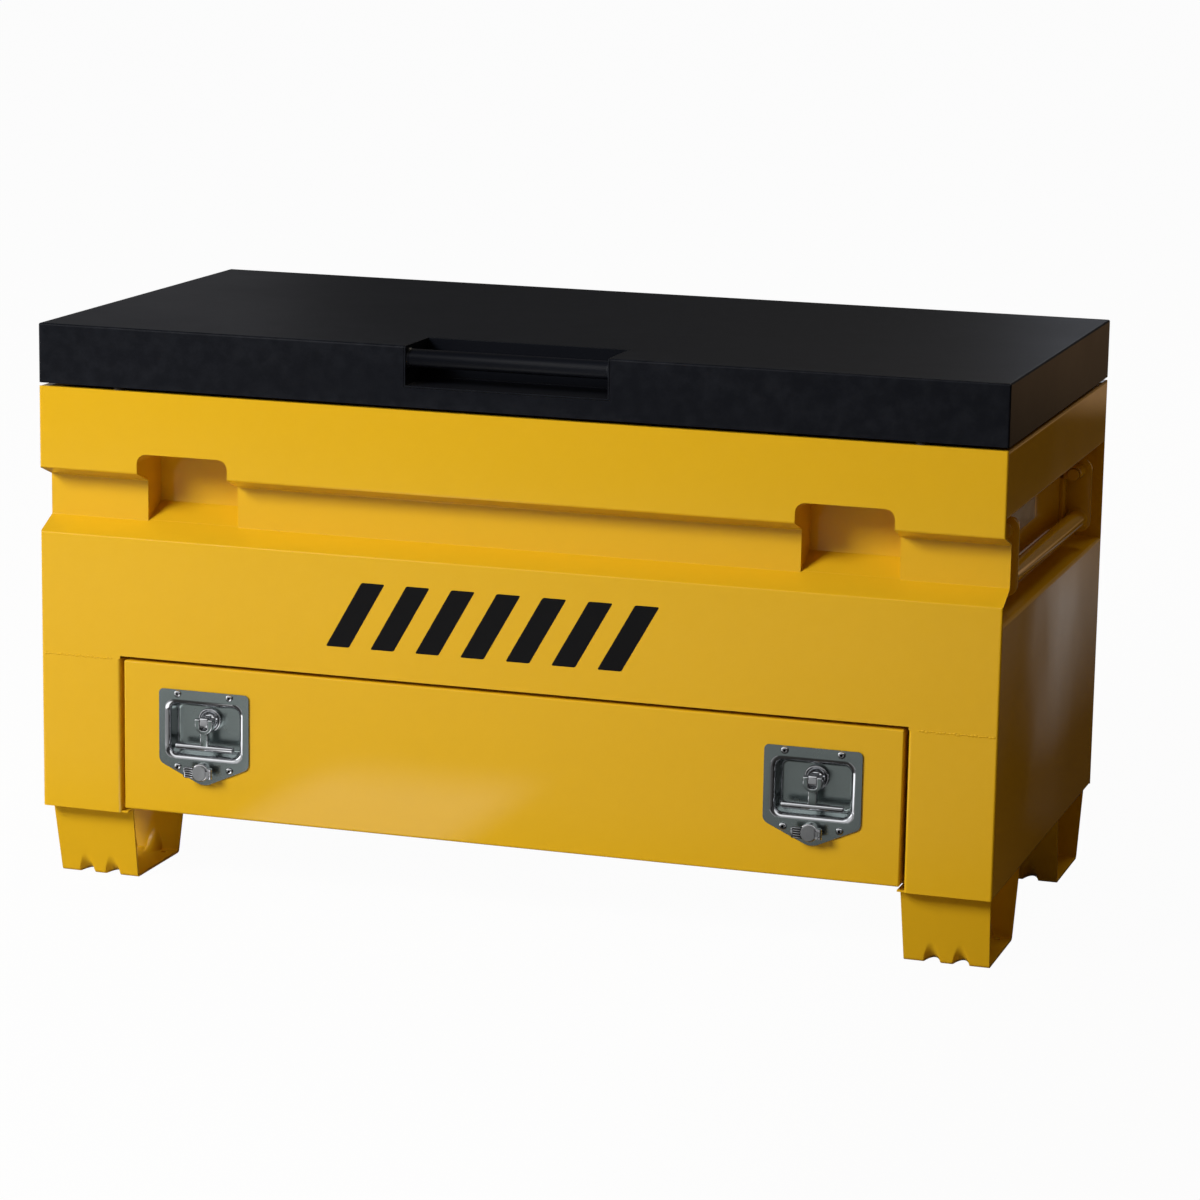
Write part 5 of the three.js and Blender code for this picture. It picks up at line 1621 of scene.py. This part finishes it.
    def _reflected(self, graph: Graph, spot: bpy_prop_collection) -> NodeSocket:
        """How bright the floor glows in reflections, a painted reflection: brightest under painted
        pools of window light, dark behind.

        Args:
            graph: The floor's graph.
            spot: The place's parts.

        Returns:
            The brightness.
        """
        lean = self._lean(graph, spot)
        level = graph.math("ADD", graph.remap(lean, -1.0, 0.3, 0.02, 0.36),
                           graph.remap(lean, 0.6, 2.6, 0.0, 0.4))
        level = graph.math("MULTIPLY", level, graph.remap(spot["Y"], -3.6, -2.0, 0.04, 1.0),
                           graph.remap(spot["Y"], -0.9, -0.55, 1.0, 0.12),
                           graph.remap(spot["X"], 0.4, 0.65, 1.0, 0.4))
        # Painted pools of window light, which the latches' lips mirror as painted highlights.
        period, phase = 0.78, 0.33
        across = graph.math("MULTIPLY", graph.math("ADD", spot["X"], phase), math.tau / period)
        painted_window_light = graph.math("MULTIPLY", graph.remap(graph.math("COSINE", across), 0.1, 0.6, 0.0, 1.0),
                          graph.remap(spot["X"], 0.0, 0.15, 1.0, 0.0),
                          graph.remap(spot["Y"], -1.04, -0.84, 0.0, 1.9),
                          graph.remap(spot["Y"], -0.52, -0.42, 1.0, 0.0))
        # A painted brighter band far behind the box, seen only in reflections.
        painted_far_glow = graph.remap(spot["Y"], 3.9, 4.3, 0.0, 0.34)
        total = graph.math("ADD", level, painted_far_glow, painted_window_light, self._streaks(graph, spot))
        return self._for_gloss(graph, total)

    def lamp(self, name: str, spot: Colour, size: tuple[float, float], power: float,
             colour: Colour = (1.0, 1.0, 1.0), gleams: bool = True) -> None:
        """Adds a soft area lamp aimed at the box.

        Args:
            name: The lamp's name.
            spot: Its place in metres.
            size: Its width and height in metres.
            power: Its power in watts.
            colour: Its colour.
            gleams: Whether it shows as a highlight on gloss and metal.
        """
        data = bpy.data.lights.new(name, "AREA")
        data.shape = "RECTANGLE"
        data.size, data.size_y = size
        data.energy = power
        data.color = colour
        holder = add_object(name, data)
        holder.location = spot
        holder.visible_glossy = gleams
        aim = Vector(self.box_middle) - Vector(spot)
        holder.rotation_euler = aim.to_track_quat("-Z", "Y").to_euler()

    def build(self) -> None:
        """Builds the studio."""
        bpy.context.scene.view_settings.view_transform = "Standard"
        self.camera()
        self.floor()
        self.world()
        key = ((-2.9, -4.2, 3.4), (2.0, 1.8))
        self.lamp("key", *key, 198.0, gleams=False)
        self.lamp("key_gleam", *key, 130.0)
        self.lamp("left_card", (-3.8, -0.9, 1.2), (1.6, 2.2), 26.0)
        self.lamp("rear_left", (-3.0, 5.2, 1.7), (0.9, 1.6), 0.8, (0.95, 0.95, 1.0))
        self.lamp("rear_right", (-0.2, 5.6, 1.5), (0.7, 1.2), 1.5, (0.80, 0.86, 1.0))
        self.lamp("rear_fill", (1.0, 3.6, 4.6), (2.2, 1.8), 62.0, (1.0, 0.90, 0.76))


def main() -> None:
    """Builds the scene in order."""
    logging.basicConfig(level=logging.INFO, format="%(name)s: %(message)s")
    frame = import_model()
    record = frame["record"]
    bodies = {node: body for body, held in record["behaviour"]["bodies"].items() for node in held}
    slots = {part["node"]: part["material_slot"] for part in record["subparts"]}
    Studio().build()
    shop = Workshop(frame["nodes"], bodies, slots)
    assemblies: list[object] = [Carcass(shop), Legs(shop), Lid(shop), Hinge(shop)]
    assemblies += [kind(shop, side) for kind in (GasStrut, SideHandle) for side in Side]
    assemblies += [Drawer(shop), *(Latch(shop, side) for side in Side), Trim(shop)]
    for assembly in assemblies:
        LOG.info("building %s", type(assembly).__name__)
        assembly.build()
    LOG.info("%d pieces", len(shop.made))


if __name__ == "__main__":
    main()
